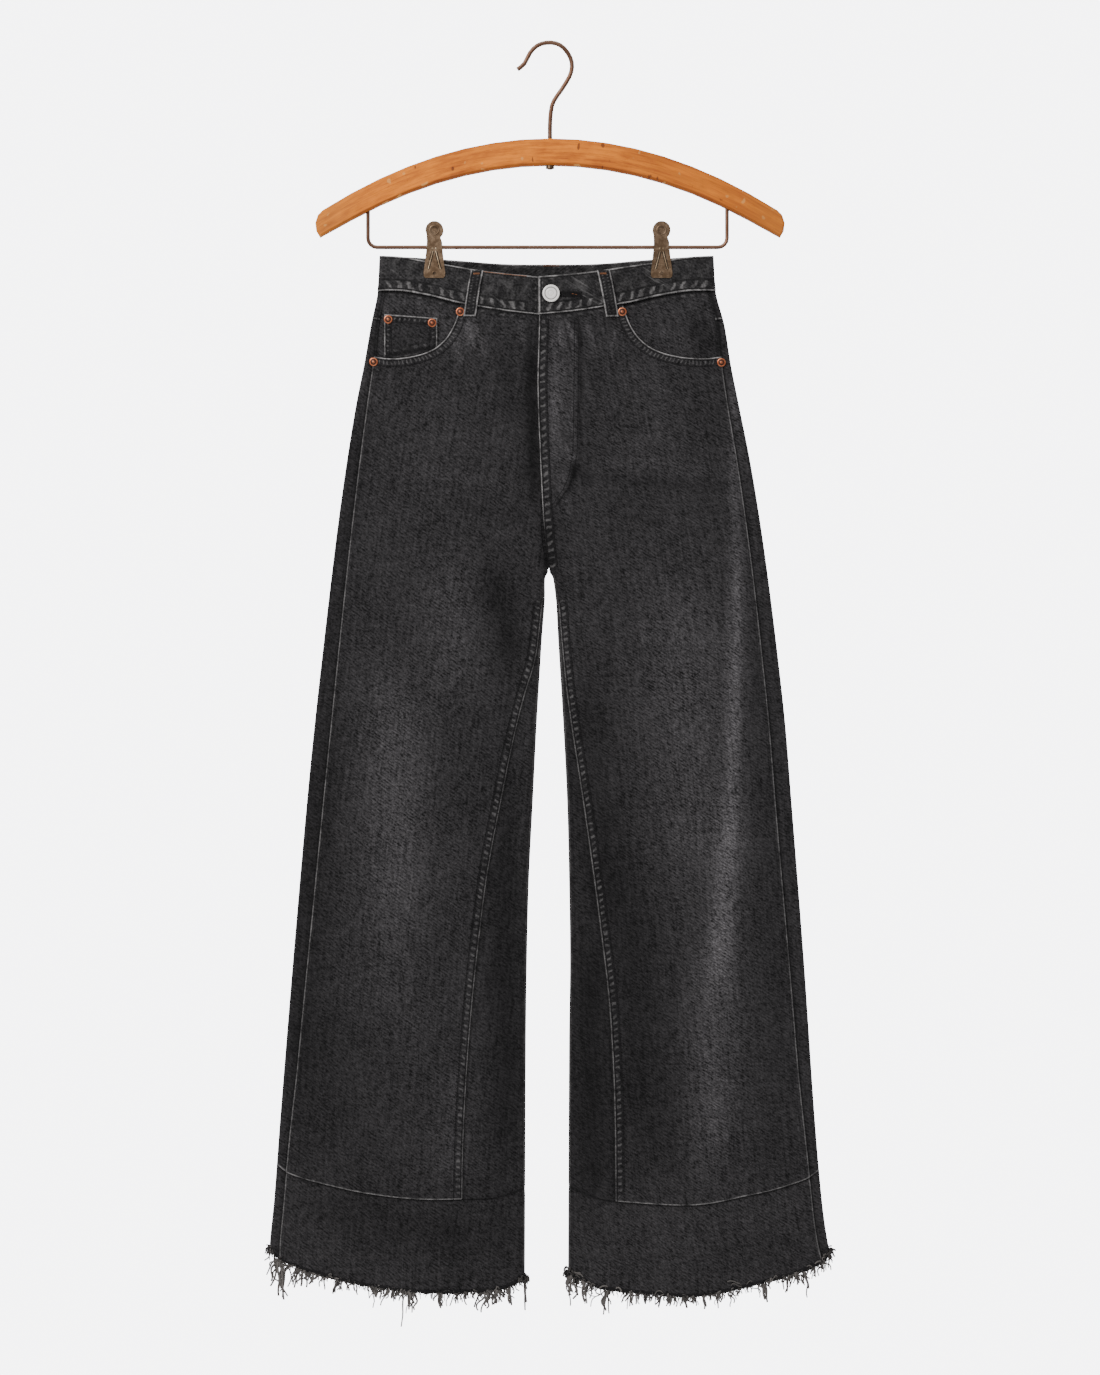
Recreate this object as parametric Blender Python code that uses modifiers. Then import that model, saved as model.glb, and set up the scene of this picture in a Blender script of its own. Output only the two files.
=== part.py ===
"""Wide-leg denim culottes, hung by two clips from a wooden trouser hanger.

Blender units are metres, +Z is up, the front of the garment faces -Y and +X is the viewer's right.
The origin is the inside top of the hanger's hook, where a rail carries it. "right" and "left" are
the wearer's, so the right leg lies at -X. Sizes and tables below are in millimetres. A drop is
measured downwards from the top corners of the waistband, and a reach is measured inwards from the
outer edge of the garment.
"""

import math
import random
from typing import NamedTuple

import bmesh
import bpy
from mathutils import Vector

MM = 0.001
WAIST_BELOW_ORIGIN = 212.0

RIGHT, LEFT = -1, 1
FRONT, BACK = -1, 1

DENIM = 1.8
WAISTBAND_WALL = 2.6
POCKET_CLOTH = 1.2
LOOP_WALL = 2.0
SEAM_GAP = 0.3
FOLD_RADIUS = 3.0
FOLD_QUARTER = FOLD_RADIUS * math.pi / 2
LENS_POWER = 2.4
INNER_ARCH = 42.0
LEG_BLEND = 70.0

SEAT_TOP = 215.0
CROTCH = 315.0
PARTING_TOP = 225.0
PARTING_LENGTH = 70.0
CROTCH_SLACK = 0.35
GUSSET_TOP = 345.0
FRAYED_EDGE = 5.0

CLIP_REACH = 113.5
GRIP_HALF_WIDTH = 17.0
GRIP_LOW_DROP = 28.0
GRIP_LENGTH = 105.0
GRIP_FADE = 50.0
GRIP_SLOPE = 0.2
GRIP_DEPTH = WAISTBAND_WALL / 2 + SEAM_GAP / 2


class Outline(NamedTuple):
    """Distances from the centreline to the outer edges, and half the depth of the hollow."""

    drop: float
    right: float
    left: float
    depth: float


OUTLINE = (
    Outline(-4, 170, 163, 9),
    Outline(36, 172.5, 166, 11),
    Outline(68, 179, 174.5, 13),
    Outline(108, 186, 181, 15),
    Outline(148, 194, 189, 17),
    Outline(203, 203, 200, 19),
    Outline(263, 211.5, 210, 20),
    Outline(323, 219, 218.5, 21),
    Outline(383, 226, 226, 21),
    Outline(463, 235, 235, 22),
    Outline(543, 243, 241.5, 23),
    Outline(703, 257, 254, 25),
    Outline(863, 270, 265, 27),
    Outline(943, 276, 272, 28),
    Outline(983, 280, 277.5, 28),
    Outline(1005, 281, 283, 28),
)


class LegGap(NamedTuple):
    """Distances from the centreline to the inner edge of each leg."""

    drop: float
    right: float
    left: float


LEG_GAPS = (
    LegGap(315, 1.3, -0.7),
    LegGap(319, 4.2, 2.2),
    LegGap(325, 5, 3.6),
    LegGap(343, 5, 5.8),
    LegGap(383, 8, 8),
    LegGap(463, 13, 13),
    LegGap(543, 17, 17),
    LegGap(623, 21, 19),
    LegGap(703, 23, 20),
    LegGap(783, 24, 19),
    LegGap(1010, 25, 18),
)


class CentreSeam(NamedTuple):
    """Where the centre seams lie: the fly's edge at the front, and the seat seam at the back."""

    drop: float
    front: float
    back: float


CENTRE_SEAMS = (
    CentreSeam(0, -12, 0.5),
    CentreSeam(60, -11, 0.5),
    CentreSeam(130, -12.5, 0.5),
    CentreSeam(200, -10, 0),
    CentreSeam(255, -7, -0.5),
    CentreSeam(285, -4.5, -0.8),
    CentreSeam(315, -1, -1),
)


class SideSeam(NamedTuple):
    """How far the side seam lies inwards from the outer edge, on the front."""

    drop: float
    inset: float


SIDE_SEAMS = (
    SideSeam(30, 4),
    SideSeam(65, 5),
    SideSeam(105, 8),
    SideSeam(160, 11),
    SideSeam(280, 14),
    SideSeam(500, 16),
    SideSeam(800, 13),
    SideSeam(900, 10),
    SideSeam(1005, 10),
)


class Gusset(NamedTuple):
    """Width of the wedge that is let in along each inner leg."""

    drop: float
    right: float
    left: float


GUSSETS = (
    Gusset(345, 1.6, 1.6),
    Gusset(400, 4, 3.2),
    Gusset(440, 13, 5),
    Gusset(490, 23, 9.5),
    Gusset(550, 32, 16),
    Gusset(610, 40, 23),
    Gusset(680, 47, 31),
    Gusset(750, 53, 39),
    Gusset(820, 58, 43.5),
    Gusset(900, 61.5, 45.5),
    Gusset(1005, 62, 46),
)


class HemSag(NamedTuple):
    """How far the hem hangs below its outer corner, over each leg's width from 0 to 1."""

    share: float
    right: float
    left: float


HEM_SAG = (
    HemSag(0, 0, 0),
    HemSag(0.04, 9, 8),
    HemSag(0.15, 19, 19),
    HemSag(0.3, 28, 28),
    HemSag(0.5, 37, 38),
    HemSag(0.7, 40, 38),
    HemSag(0.9, 39, 31),
    HemSag(1, 30, 20),
)
HEM_CORNER = HemSag(0, 995, 999)
BAND_CORNER = HemSag(0, 907, 913)
SAG_GROWTH = 1.5


class WaistDip(NamedTuple):
    """Drops of the waistband's edges, from the side edge (0) to the centre (1)."""

    share: float
    front_top: float
    front_seam: float
    back_top: float
    back_seam: float


WAIST_DIPS = (
    WaistDip(0, -1, 34, -1, 34),
    WaistDip(0.15, 0.5, 34.5, 0, 35),
    WaistDip(0.33, 5.5, 39.5, 2, 37.5),
    WaistDip(0.5, 10, 46.5, 4, 40),
    WaistDip(0.65, 14.5, 51, 5.5, 42),
    WaistDip(0.82, 18, 55.5, 6.5, 43.5),
    WaistDip(1, 20.5, 58.5, 6.5, 44),
)


class PocketEdge(NamedTuple):
    """The curved front pocket, from its inner corner (0) to the side seam (1)."""

    span: float
    drop: float


POCKET_EDGE = (
    PocketEdge(0, 50),
    PocketEdge(0.03, 59),
    PocketEdge(0.08, 70.5),
    PocketEdge(0.17, 83),
    PocketEdge(0.32, 93.5),
    PocketEdge(0.55, 100),
    PocketEdge(0.8, 102),
    PocketEdge(1, 100),
)
POCKET_CORNERS = {RIGHT: 89.5, LEFT: 73.0}
POCKET_UNDERLAY = 12.0
FACING_SLACK = 1.2


class Fold(NamedTuple):
    """A soft ridge, or a trough where its height is below 0, along a line down the cloth."""

    half: int
    face: int
    top_reach: float
    top_drop: float
    low_reach: float
    low_drop: float
    width: float
    height: float


# The reaches of these lines are measured from the centreline outwards.
FOLDS = (
    Fold(LEFT, FRONT, 190, 200, 152, 1010, 24, 5.0),
    Fold(LEFT, FRONT, 118, 470, 92, 1010, 28, -4.5),
    Fold(LEFT, FRONT, 60, 640, 52, 1010, 20, 4.0),
    Fold(LEFT, FRONT, 232, 420, 232, 960, 16, -3.0),
    Fold(RIGHT, FRONT, 88, 300, 158, 720, 28, 5.5),
    Fold(RIGHT, FRONT, 160, 600, 122, 1010, 30, 3.5),
    Fold(RIGHT, FRONT, 210, 380, 214, 1000, 20, -4.0),
    Fold(RIGHT, FRONT, 52, 250, 34, 470, 16, -4.0),
    Fold(RIGHT, FRONT, 100, 620, 78, 1010, 18, -4.0),
    Fold(RIGHT, FRONT, 22, 60, 24, 300, 14, -3.0),
    Fold(LEFT, FRONT, 60, 150, 26, 300, 18, -3.5),
    Fold(LEFT, BACK, 150, 330, 170, 1010, 30, 4.0),
    Fold(LEFT, BACK, 95, 420, 80, 1010, 26, -5.0),
    Fold(LEFT, BACK, 30, 200, 70, 420, 20, -4.0),
    Fold(RIGHT, BACK, 165, 320, 140, 1010, 30, 4.0),
    Fold(RIGHT, BACK, 110, 450, 85, 1010, 24, -5.0),
    Fold(RIGHT, BACK, 30, 200, 66, 440, 20, -4.0),
)
FOLD_FADE = 0.25
EDGE_FADE = 30.0

# Nominal levels of the rows of points, shared by the pieces that meet at a seam. A level under 1 is
# a share of the way from a panel's top edge to the first level of the seat.
TOP_LEVELS = (0, 0.5)
SEAT_LEVELS = (120, 160, 205, 250, 282, 300, 309, 314, 319, 327, 345)
LEG_LEVELS = (385, 440, 510, 590, 680, 770, 850)
# A leg panel is one piece of cloth in three nodes, parted at these levels.
UPPER_CUT, LOWER_CUT = 345, 590

FLY_UNDERLAP = 14.0
FLY_SINK = DENIM + SEAM_GAP
FLY_END = 255.0
WAIST_UNDERLAP = 28.0
WAIST_SINK = WAISTBAND_WALL + SEAM_GAP


def blend(low, high, share):
    """The value that lies a share of the way from low to high."""
    return low + (high - low) * share


def smooth(value):
    """0 below 0, 1 above 1, and a smooth rise between them."""
    value = min(1.0, max(0.0, value))
    return value * value * (3 - 2 * value)


def along(table, column, key):
    """The value of a table's column at a key of its first column, on a smooth curve."""
    where = table[0]._fields.index(column)
    if key <= table[0][0]:
        return table[0][where]
    if key >= table[-1][0]:
        return table[-1][where]
    high = next(i for i, row in enumerate(table) if row[0] > key)
    low = high - 1
    step = table[high][0] - table[low][0]

    def slope(i):
        before, after = table[max(i - 1, 0)], table[min(i + 1, len(table) - 1)]
        return (after[where] - before[where]) / (after[0] - before[0])

    t = (key - table[low][0]) / step
    rise = table[high][where] - table[low][where]
    start, end = slope(low) * step, slope(high) * step
    return (
        table[low][where]
        + start * t
        + (3 * rise - 2 * start - end) * t * t
        + (start + end - 2 * rise) * t**3
    )


def named(half):
    """The table column of a half of the garment."""
    return "left" if half == LEFT else "right"


def faced(face):
    """The table column of a face of the garment."""
    return "front" if face == FRONT else "back"


def outer_edge(half, drop):
    """Distance from the centreline to the middle of the cloth at the outer edge."""
    return along(OUTLINE, named(half), drop) - DENIM / 2


def openness(drop):
    """1 where the two halves are one hollow, 0 where they are two legs, and a round arch between."""
    share = min(1.0, max(0.0, (drop - SEAT_TOP) / (CROTCH - SEAT_TOP)))
    return math.sqrt(1 - share * share)


def crotch_clearance(half):
    """How far the leg's inner edge lies from the fly's edge at the crotch."""
    gap = along(LEG_GAPS, named(half), CROTCH) + DENIM / 2
    return gap - half * along(CENTRE_SEAMS, "front", CROTCH)


def width(half, face, drop):
    """Width of one half, from its outer edge to the centre seam or to the inner edge of the leg."""
    if drop >= CROTCH:
        return outer_edge(half, drop) - along(LEG_GAPS, named(half), drop) - DENIM / 2
    centre = along(CENTRE_SEAMS, faced(face), drop)
    parted = crotch_clearance(half) * smooth((drop - PARTING_TOP) / PARTING_LENGTH)
    return outer_edge(half, drop) - half * centre - parted


def full_girth(span):
    """Length of cloth across a half of this width, round the fold at each end."""
    return span - 2 * FOLD_RADIUS + 2 * FOLD_QUARTER


def reach_of(girth, span):
    """Reach of the point that lies this far round the cloth from the outer fold."""
    total = full_girth(span)
    if girth < FOLD_QUARTER:
        return FOLD_RADIUS * (1 - math.cos(girth / FOLD_RADIUS))
    if girth > total:
        return span + girth - total
    if girth > total - FOLD_QUARTER:
        return span - FOLD_RADIUS * (1 - math.cos((total - girth) / FOLD_RADIUS))
    return FOLD_RADIUS + girth - FOLD_QUARTER


def girth_of(reach, span):
    """Length of cloth from the outer fold to the point at this reach."""
    if reach < FOLD_RADIUS:
        return FOLD_RADIUS * math.acos(1 - max(reach, 0) / FOLD_RADIUS)
    if reach > span:
        return full_girth(span) + reach - span
    if reach > span - FOLD_RADIUS:
        return full_girth(span) - FOLD_RADIUS * math.acos(1 - (span - reach) / FOLD_RADIUS)
    return FOLD_QUARTER + reach - FOLD_RADIUS


def fold_height(half, face, distance, drop):
    """How far the folds lift the cloth at a distance from the centreline."""
    height = 0.0
    for fold in FOLDS:
        if (fold.half, fold.face) != (half, face):
            continue
        share = (drop - fold.top_drop) / (fold.low_drop - fold.top_drop)
        if not 0 < share < 1.2:
            continue
        middle = blend(fold.top_reach, fold.low_reach, share)
        fade = smooth(share / FOLD_FADE)
        height += fold.height * fade * math.exp(-(((distance - middle) / fold.width) ** 2))
    return height


def clip_pinch(distance, drop):
    """1 where a clip holds the front against the back, falling to 0 round it."""
    beside = max(0.0, abs(distance - CLIP_REACH) - GRIP_HALF_WIDTH)
    below = min(1.0, max(0.0, (drop - GRIP_LOW_DROP) / GRIP_LENGTH))
    return (1 - smooth(beside / GRIP_FADE)) * (1 - below) ** 1.5


def round_fold(reach):
    """Profile of a folded edge, from 0 at the fold to 1 where it is over."""
    return math.sqrt(max(0.0, 1 - (1 - min(reach / FOLD_RADIUS, 1)) ** 2))


def half_depth(half, face, reach, drop):
    """Distance of the cloth from the middle plane of the garment."""
    span = width(half, face, drop)
    depth = along(OUTLINE, "depth", drop)
    share = reach / span
    open_part = openness(drop)
    seat_part = 1 - smooth((drop - SEAT_TOP + LEG_BLEND) / (CROTCH - SEAT_TOP + 2 * LEG_BLEND))
    seat_lens = 1 - abs(1 - share) ** LENS_POWER
    leg_lens = 1 - abs(1 - 2 * share) ** LENS_POWER
    inner_arch = blend(round_fold((span - reach) * FOLD_RADIUS / INNER_ARCH), 1, open_part)
    lens = blend(leg_lens, seat_lens, seat_part) * inner_arch
    rolled = round_fold(reach) * blend(round_fold(span - reach), 1, open_part)
    distance = outer_edge(half, drop) - reach
    found = (depth - FOLD_RADIUS) * lens + FOLD_RADIUS * rolled
    inner_fade = blend(smooth((span - reach) / EDGE_FADE), 1, open_part)
    edge = smooth(reach / EDGE_FADE) * inner_fade
    found += edge * fold_height(half, face, distance, drop)
    grip = GRIP_DEPTH + GRIP_SLOPE * max(0.0, drop - GRIP_LOW_DROP)
    found += min(0.0, grip - found) * clip_pinch(distance, drop)
    return max(found, SEAM_GAP / 2)


def cloth(half, around, drop):
    """Middle of the cloth at a girth from the outer fold: below 0 on the front, above 0 on the back."""
    face = FRONT if around < 0 else BACK
    reach = reach_of(abs(around), width(half, face, drop))
    x = half * (outer_edge(half, drop) - reach)
    return Vector((x, face * half_depth(half, face, reach, drop), -WAIST_BELOW_ORIGIN - drop))


def outward(half, around, drop):
    """Unit vector that points out of the garment at a point of the cloth."""
    step = 0.6
    face = FRONT if around < 0 else BACK
    total = full_girth(width(half, face, drop))
    most = max(total, abs(around))
    ahead, behind = min(around + step, most), max(around - step, -most)
    across = cloth(half, ahead, drop) - cloth(half, behind, drop)
    down = cloth(half, around, drop + 2 * step) - cloth(half, around, drop - 2 * step)
    return (-half * across.cross(down)).normalized()


def spot(x, face, drop):
    """The half and the girth of the point that shows at an x on a face."""
    half = LEFT if x > along(CENTRE_SEAMS, faced(face), drop) else RIGHT
    girth = girth_of(outer_edge(half, drop) - half * x, width(half, face, drop))
    return half, face * girth


def share_across(half, around, drop):
    """Share of the half's width at a girth, from the outer edge (0) to the centre (1)."""
    face = FRONT if around < 0 else BACK
    span = width(half, face, drop)
    return min(1.0, reach_of(abs(around), span) / span)


def settle(half, level, place):
    """The girth and drop of a point whose drop depends on its place across, and the reverse."""
    drop = level(0.5)
    for _ in range(3):
        around = place(drop)
        drop = level(share_across(half, around, drop))
    return place(drop), drop


def waist_level(face, edge):
    """Drops along the waistband's top or seam."""
    return lambda share: along(WAIST_DIPS, f"{faced(face)}_{edge}", share)


def leg_level(half, corner):
    """Drops along a line that hangs from a corner on the outer edge, as the hem does."""
    hem = getattr(HEM_CORNER, named(half))
    weight = max(0.0, (corner - CROTCH) / (hem - CROTCH)) ** SAG_GROWTH
    return lambda share: corner + weight * along(HEM_SAG, named(half), share)


def pocket_drop(half, distance, drop_at_waist):
    """Drop of a front panel's upper edge: the pocket's curve, or the waistband seam."""
    corner = POCKET_CORNERS[half]
    side = outer_edge(half, 100) - along(SIDE_SEAMS, "inset", 100)
    if distance < corner:
        return drop_at_waist
    span = (distance - corner) / (side - corner)
    return max(drop_at_waist, along(POCKET_EDGE, "drop", span))


def side_seam(half, drop, margin):
    """Girth from the outer fold to the side seam, less a margin towards the fold."""
    inset = along(SIDE_SEAMS, "inset", drop) - margin
    return girth_of(inset, width(half, FRONT, drop))


def inner_limit(half, face, drop):
    """Girth at which a leg panel ends: the centre seam, the inner fold or the gusset."""
    span = width(half, face, drop)
    if drop < GUSSET_TOP - 1:
        clear = SEAM_GAP / 2 + CROTCH_SLACK * math.exp(-(((drop - CROTCH) / 6) ** 2))
        if drop < CROTCH:
            return girth_of(span - clear, span)
        return full_girth(span) - clear
    return girth_of(span - along(GUSSETS, named(half), drop) - SEAM_GAP / 2, span)


def gusset_start(half, face, drop):
    """Girth at which the gusset begins, from the outer fold."""
    span = width(half, face, drop)
    return girth_of(span - along(GUSSETS, named(half), drop) + SEAM_GAP / 2, span)


def lay_cloth(name, columns, rows, place, wall):
    """A cloth piece: a slab of columns by rows, laid on the garment by a function of its points."""
    mesh = bmesh.new()
    bmesh.ops.create_grid(mesh, x_segments=columns, y_segments=rows, size=0.5)
    for vert in mesh.verts:
        vert.co.x = round((vert.co.x + 0.5) * columns)
        vert.co.y = round((0.5 - vert.co.y) * rows)
    lower = bmesh.ops.extrude_face_region(mesh, geom=mesh.faces[:], use_keep_orig=True)
    for part in lower["geom"]:
        if isinstance(part, bmesh.types.BMVert):
            part.co.z = 1.0
    cache = {}
    for vert in mesh.verts:
        column, row, layer = (round(value) for value in vert.co)
        if (column, row) not in cache:
            cache[column, row] = place(column, row)
        middle, normal = cache[column, row]
        vert.co = (middle + normal * wall * (layer - 0.5)) * MM
    return finish(name, mesh)


def lay_sections(name, columns, levels, place, wall):
    """A leg panel in three lengths, each ending half a gap from where they are parted."""
    upper, lower = levels.index(UPPER_CUT), levels.index(LOWER_CUT)
    gap = SEAM_GAP / 2
    sections = {
        "upper": [*levels[:upper], UPPER_CUT - gap],
        "middle": [UPPER_CUT + gap, *levels[upper + 1 : lower], LOWER_CUT - gap],
        "lower": [LOWER_CUT + gap, *levels[lower + 1 : -1], levels[-1] - gap],
    }
    for section, rows in sections.items():

        def place_row(column, row, rows=rows):
            return place(column, rows[row])

        lay_cloth(f"{name}_{section}", columns, len(rows) - 1, place_row, wall)


def finish(name, mesh):
    """A named object from an edited mesh, with its faces pointing out."""
    bmesh.ops.recalc_face_normals(mesh, faces=mesh.faces[:])
    data = bpy.data.meshes.new(name)
    mesh.to_mesh(data)
    mesh.free()
    data.shade_smooth()
    data.set_sharp_from_angle(angle=math.radians(50))
    return add_part(bpy.data.objects.new(name, data))


def add_part(obj):
    """Puts an object in the garment's collection, in its own material."""
    PARTS.objects.link(obj)
    look = next(look for key, look in LOOKS if obj.name.startswith(key))
    material = bpy.data.materials.new(obj.name)
    material.use_nodes = True
    shader = material.node_tree.nodes["Principled BSDF"]
    shader.inputs["Base Color"].default_value = (*look.colour, 1)
    shader.inputs["Roughness"].default_value = look.roughness
    shader.inputs["Metallic"].default_value = look.metallic
    obj.data.materials.clear()
    obj.data.materials.append(material)
    return obj


class Look(NamedTuple):
    """Colour, roughness and metallic value of a material."""

    colour: tuple
    roughness: float
    metallic: float


WASHED_DENIM = Look((0.036, 0.035, 0.037), 0.9, 0)
FRAYED_COTTON = Look((0.12, 0.11, 0.10), 0.95, 0)
HONEY_WOOD = Look((0.52, 0.20, 0.06), 0.4, 0)
AGED_BRONZE = Look((0.20, 0.13, 0.08), 0.4, 1)
COPPER = Look((0.55, 0.22, 0.12), 0.35, 1)
NICKEL = Look((0.75, 0.73, 0.70), 0.25, 1)
LOOKS = (
    ("fringe", FRAYED_COTTON),
    ("hanger_arm", HONEY_WOOD),
    ("hook", AGED_BRONZE),
    ("trouser_bar", AGED_BRONZE),
    ("clip", AGED_BRONZE),
    ("rivet", COPPER),
    ("button", NICKEL),
    ("", WASHED_DENIM),
)
PARTS = None
CUTTERS = None


# Shares of a panel's width at which its columns lie, closer together round the pocket's corner.
FRONT_SHARES = (0, 0.1, 0.2, 0.29, 0.37, 0.43, 0.475, 0.52, 0.59, 0.68, 0.77, 0.86)
BACK_SHARES = (0, 0.09, 0.19, 0.3, 0.41, 0.52, 0.63, 0.74, 0.84, 0.93, 1)
FLY_STEP = 12.0
FIRST_SINK = 0.35


def front_girths(half, drop):
    """Girths of a front panel's columns, the last ones close to the fly's edge."""
    start = side_seam(half, drop, -SEAM_GAP / 2)
    end = inner_limit(half, FRONT, drop)
    girths = [blend(start, end, share) for share in FRONT_SHARES]
    before_end = (blend(start, end, FRONT_SHARES[-1]) + end) / 2
    girths += [max(before_end, end - FLY_STEP), end - 1]
    underlap = min(1.0, max(0.0, (FLY_END - drop) / 40)) if half == RIGHT else 0.0
    return [*girths, end + FLY_UNDERLAP * underlap]


def fly_sink(column, columns, drop):
    """How far the right front goes under the left one at the fly."""
    depth = FLY_SINK * min(1.0, max(0.0, (FLY_END + 15 - drop) / 30))
    return {columns: depth, columns - 1: depth, columns - 2: FIRST_SINK * depth}.get(column, 0.0)


def front_panel(half):
    """A front leg, from the waistband seam and the pocket's curve to the hem band."""
    columns = len(front_girths(half, CROTCH)) - 1
    levels = [*TOP_LEVELS, *SEAT_LEVELS, *LEG_LEVELS, getattr(BAND_CORNER, named(half))]

    def edge(column):
        """Drop of the panel's top edge at a column."""
        drop = 60.0
        for _ in range(4):
            around = -front_girths(half, drop)[column]
            waist = waist_level(FRONT, "seam")(share_across(half, around, drop))
            distance = abs(cloth(half, around, drop).x)
            drop = pocket_drop(half, distance, waist) + SEAM_GAP / 2
            if half * cloth(half, around, drop).x < 0:
                drop = waist + SEAM_GAP / 2
        return drop

    def place(column, corner):
        if corner < 1:
            drop = blend(edge(column), SEAT_LEVELS[0], corner)
        else:
            level = leg_level(half, corner)
            _, drop = settle(half, level, lambda d: -front_girths(half, d)[column])
        around = -front_girths(half, drop)[column]
        normal = outward(half, around, drop)
        sink = fly_sink(column, columns, drop) if half == RIGHT else 0.0
        return cloth(half, around, drop) - normal * sink, normal

    lay_sections(f"front_{named(half)}", columns, levels, place, DENIM)


def back_girths(half, drop, end):
    """Girths of a back piece's columns: from the side seam on the front, round the fold, to its end."""
    start = -side_seam(half, drop, SEAM_GAP / 2)
    turn = (start, start / 2 - FOLD_QUARTER / 2, -FOLD_QUARTER, -FOLD_QUARTER / 2, 0)
    if -start <= FOLD_QUARTER:
        turn = tuple(blend(start, 0, step / 4) for step in range(5))
    return [*turn, FOLD_QUARTER / 2, *(blend(FOLD_QUARTER, end, share) for share in BACK_SHARES)]


def back_panel(half):
    """A back leg, from the yoke seam to the hem band."""
    levels = [*TOP_LEVELS, *SEAT_LEVELS, *LEG_LEVELS, getattr(BAND_CORNER, named(half))]

    def girths(drop):
        return back_girths(half, drop, inner_limit(half, BACK, drop))

    def place(column, corner):
        if corner < 1:
            _, edge = settle(half, yoke_level(SEAM_GAP / 2), lambda d: girths(d)[column])
            drop = blend(edge, SEAT_LEVELS[0], corner)
        else:
            level = leg_level(half, corner)
            _, drop = settle(half, level, lambda d: girths(d)[column])
        around = girths(drop)[column]
        return cloth(half, around, drop), outward(half, around, drop)

    lay_sections(f"back_{named(half)}", len(girths(CROTCH)) - 1, levels, place, DENIM)


YOKE_SIDE = 62.0
YOKE_MIDDLE = 104.0


def yoke_level(margin):
    """Drops along the yoke seam, which falls from the side to the middle of the back."""
    return lambda share: blend(YOKE_SIDE, YOKE_MIDDLE, share) + margin


def back_yoke(half):
    """The yoke between the waistband and the back leg."""
    rows = 3

    def girths(drop):
        return back_girths(half, drop, inner_limit(half, BACK, drop))

    def place(column, row):
        def level(share):
            seam = waist_level(BACK, "seam")(share) + SEAM_GAP / 2
            return blend(seam, yoke_level(-SEAM_GAP / 2)(share), row / rows)

        around, drop = settle(half, level, lambda d: girths(d)[column])
        return cloth(half, around, drop), outward(half, around, drop)

    columns = len(girths(YOKE_SIDE)) - 1
    return lay_cloth(f"back_yoke_{named(half)}", columns, rows, place, DENIM)


FRONT_BAND_SHARES = (0, 0.11, 0.23, 0.35, 0.46, 0.57, 0.68, 0.79, 0.9)


def gusset_girths(half, face, drop):
    """Girths of the columns that a gusset shares with the hem band below it."""
    total = full_girth(width(half, face, drop)) - SEAM_GAP / 2
    start = gusset_start(half, face, drop)
    last = total - start
    turn = [total - min(FOLD_QUARTER, last * 0.3), total - min(FOLD_QUARTER / 2, last * 0.15)]
    return [start, blend(start, total, 0.5), *turn, total]


def hem_girths(half, face, drop):
    """Girths of a hem band's columns, from the side seam to the inner fold."""
    gusset = gusset_start(half, face, drop)
    if face == FRONT:
        start = side_seam(half, drop, -SEAM_GAP / 2)
        band = [blend(start, gusset, share) for share in FRONT_BAND_SHARES]
    else:
        band = back_girths(half, drop, gusset)[:-1]
    return [*band, *gusset_girths(half, face, drop)]


def gusset(half, face):
    """The wedge that is let in along the inner leg, down to the hem band."""
    levels = [UPPER_CUT, *LEG_LEVELS, getattr(BAND_CORNER, named(half)) - SEAM_GAP / 2]

    def place(column, row):
        level = leg_level(half, levels[row])
        around, drop = settle(half, level, lambda d: face * gusset_girths(half, face, d)[column])
        return cloth(half, around, drop), outward(half, around, drop)

    columns = len(gusset_girths(half, face, CROTCH)) - 1
    return lay_cloth(f"gusset_{faced(face)}_{named(half)}", columns, len(levels) - 1, place, DENIM)


def hem_band(half, face):
    """The band at the bottom of one face of a leg, with its frayed lower edge."""
    top = getattr(BAND_CORNER, named(half)) + SEAM_GAP / 2
    low = getattr(HEM_CORNER, named(half)) - FRAYED_EDGE - SEAM_GAP / 2
    levels = [top, blend(top, low, 0.5), low]
    columns = len(hem_girths(half, face, top)) - 1

    def place(column, row):
        level = leg_level(half, levels[row])
        around, drop = settle(half, level, lambda d: face * hem_girths(half, face, d)[column])
        return cloth(half, around, drop), outward(half, around, drop)

    where = f"{faced(face)}_{named(half)}"
    lay_cloth(f"hem_band_{where}", columns, len(levels) - 1, place, DENIM)
    hem = [place(column, len(levels) - 1) for column in range(columns + 1)]
    fringe(f"fringe_{where}", hem, seed=10 * half + face)


THREADS = 38
THREAD_ROOT = 2.2
THREAD_WIDTH = 0.9
SHORTEST_THREAD = 4.0
THREAD_SPREAD = 18.0


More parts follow.
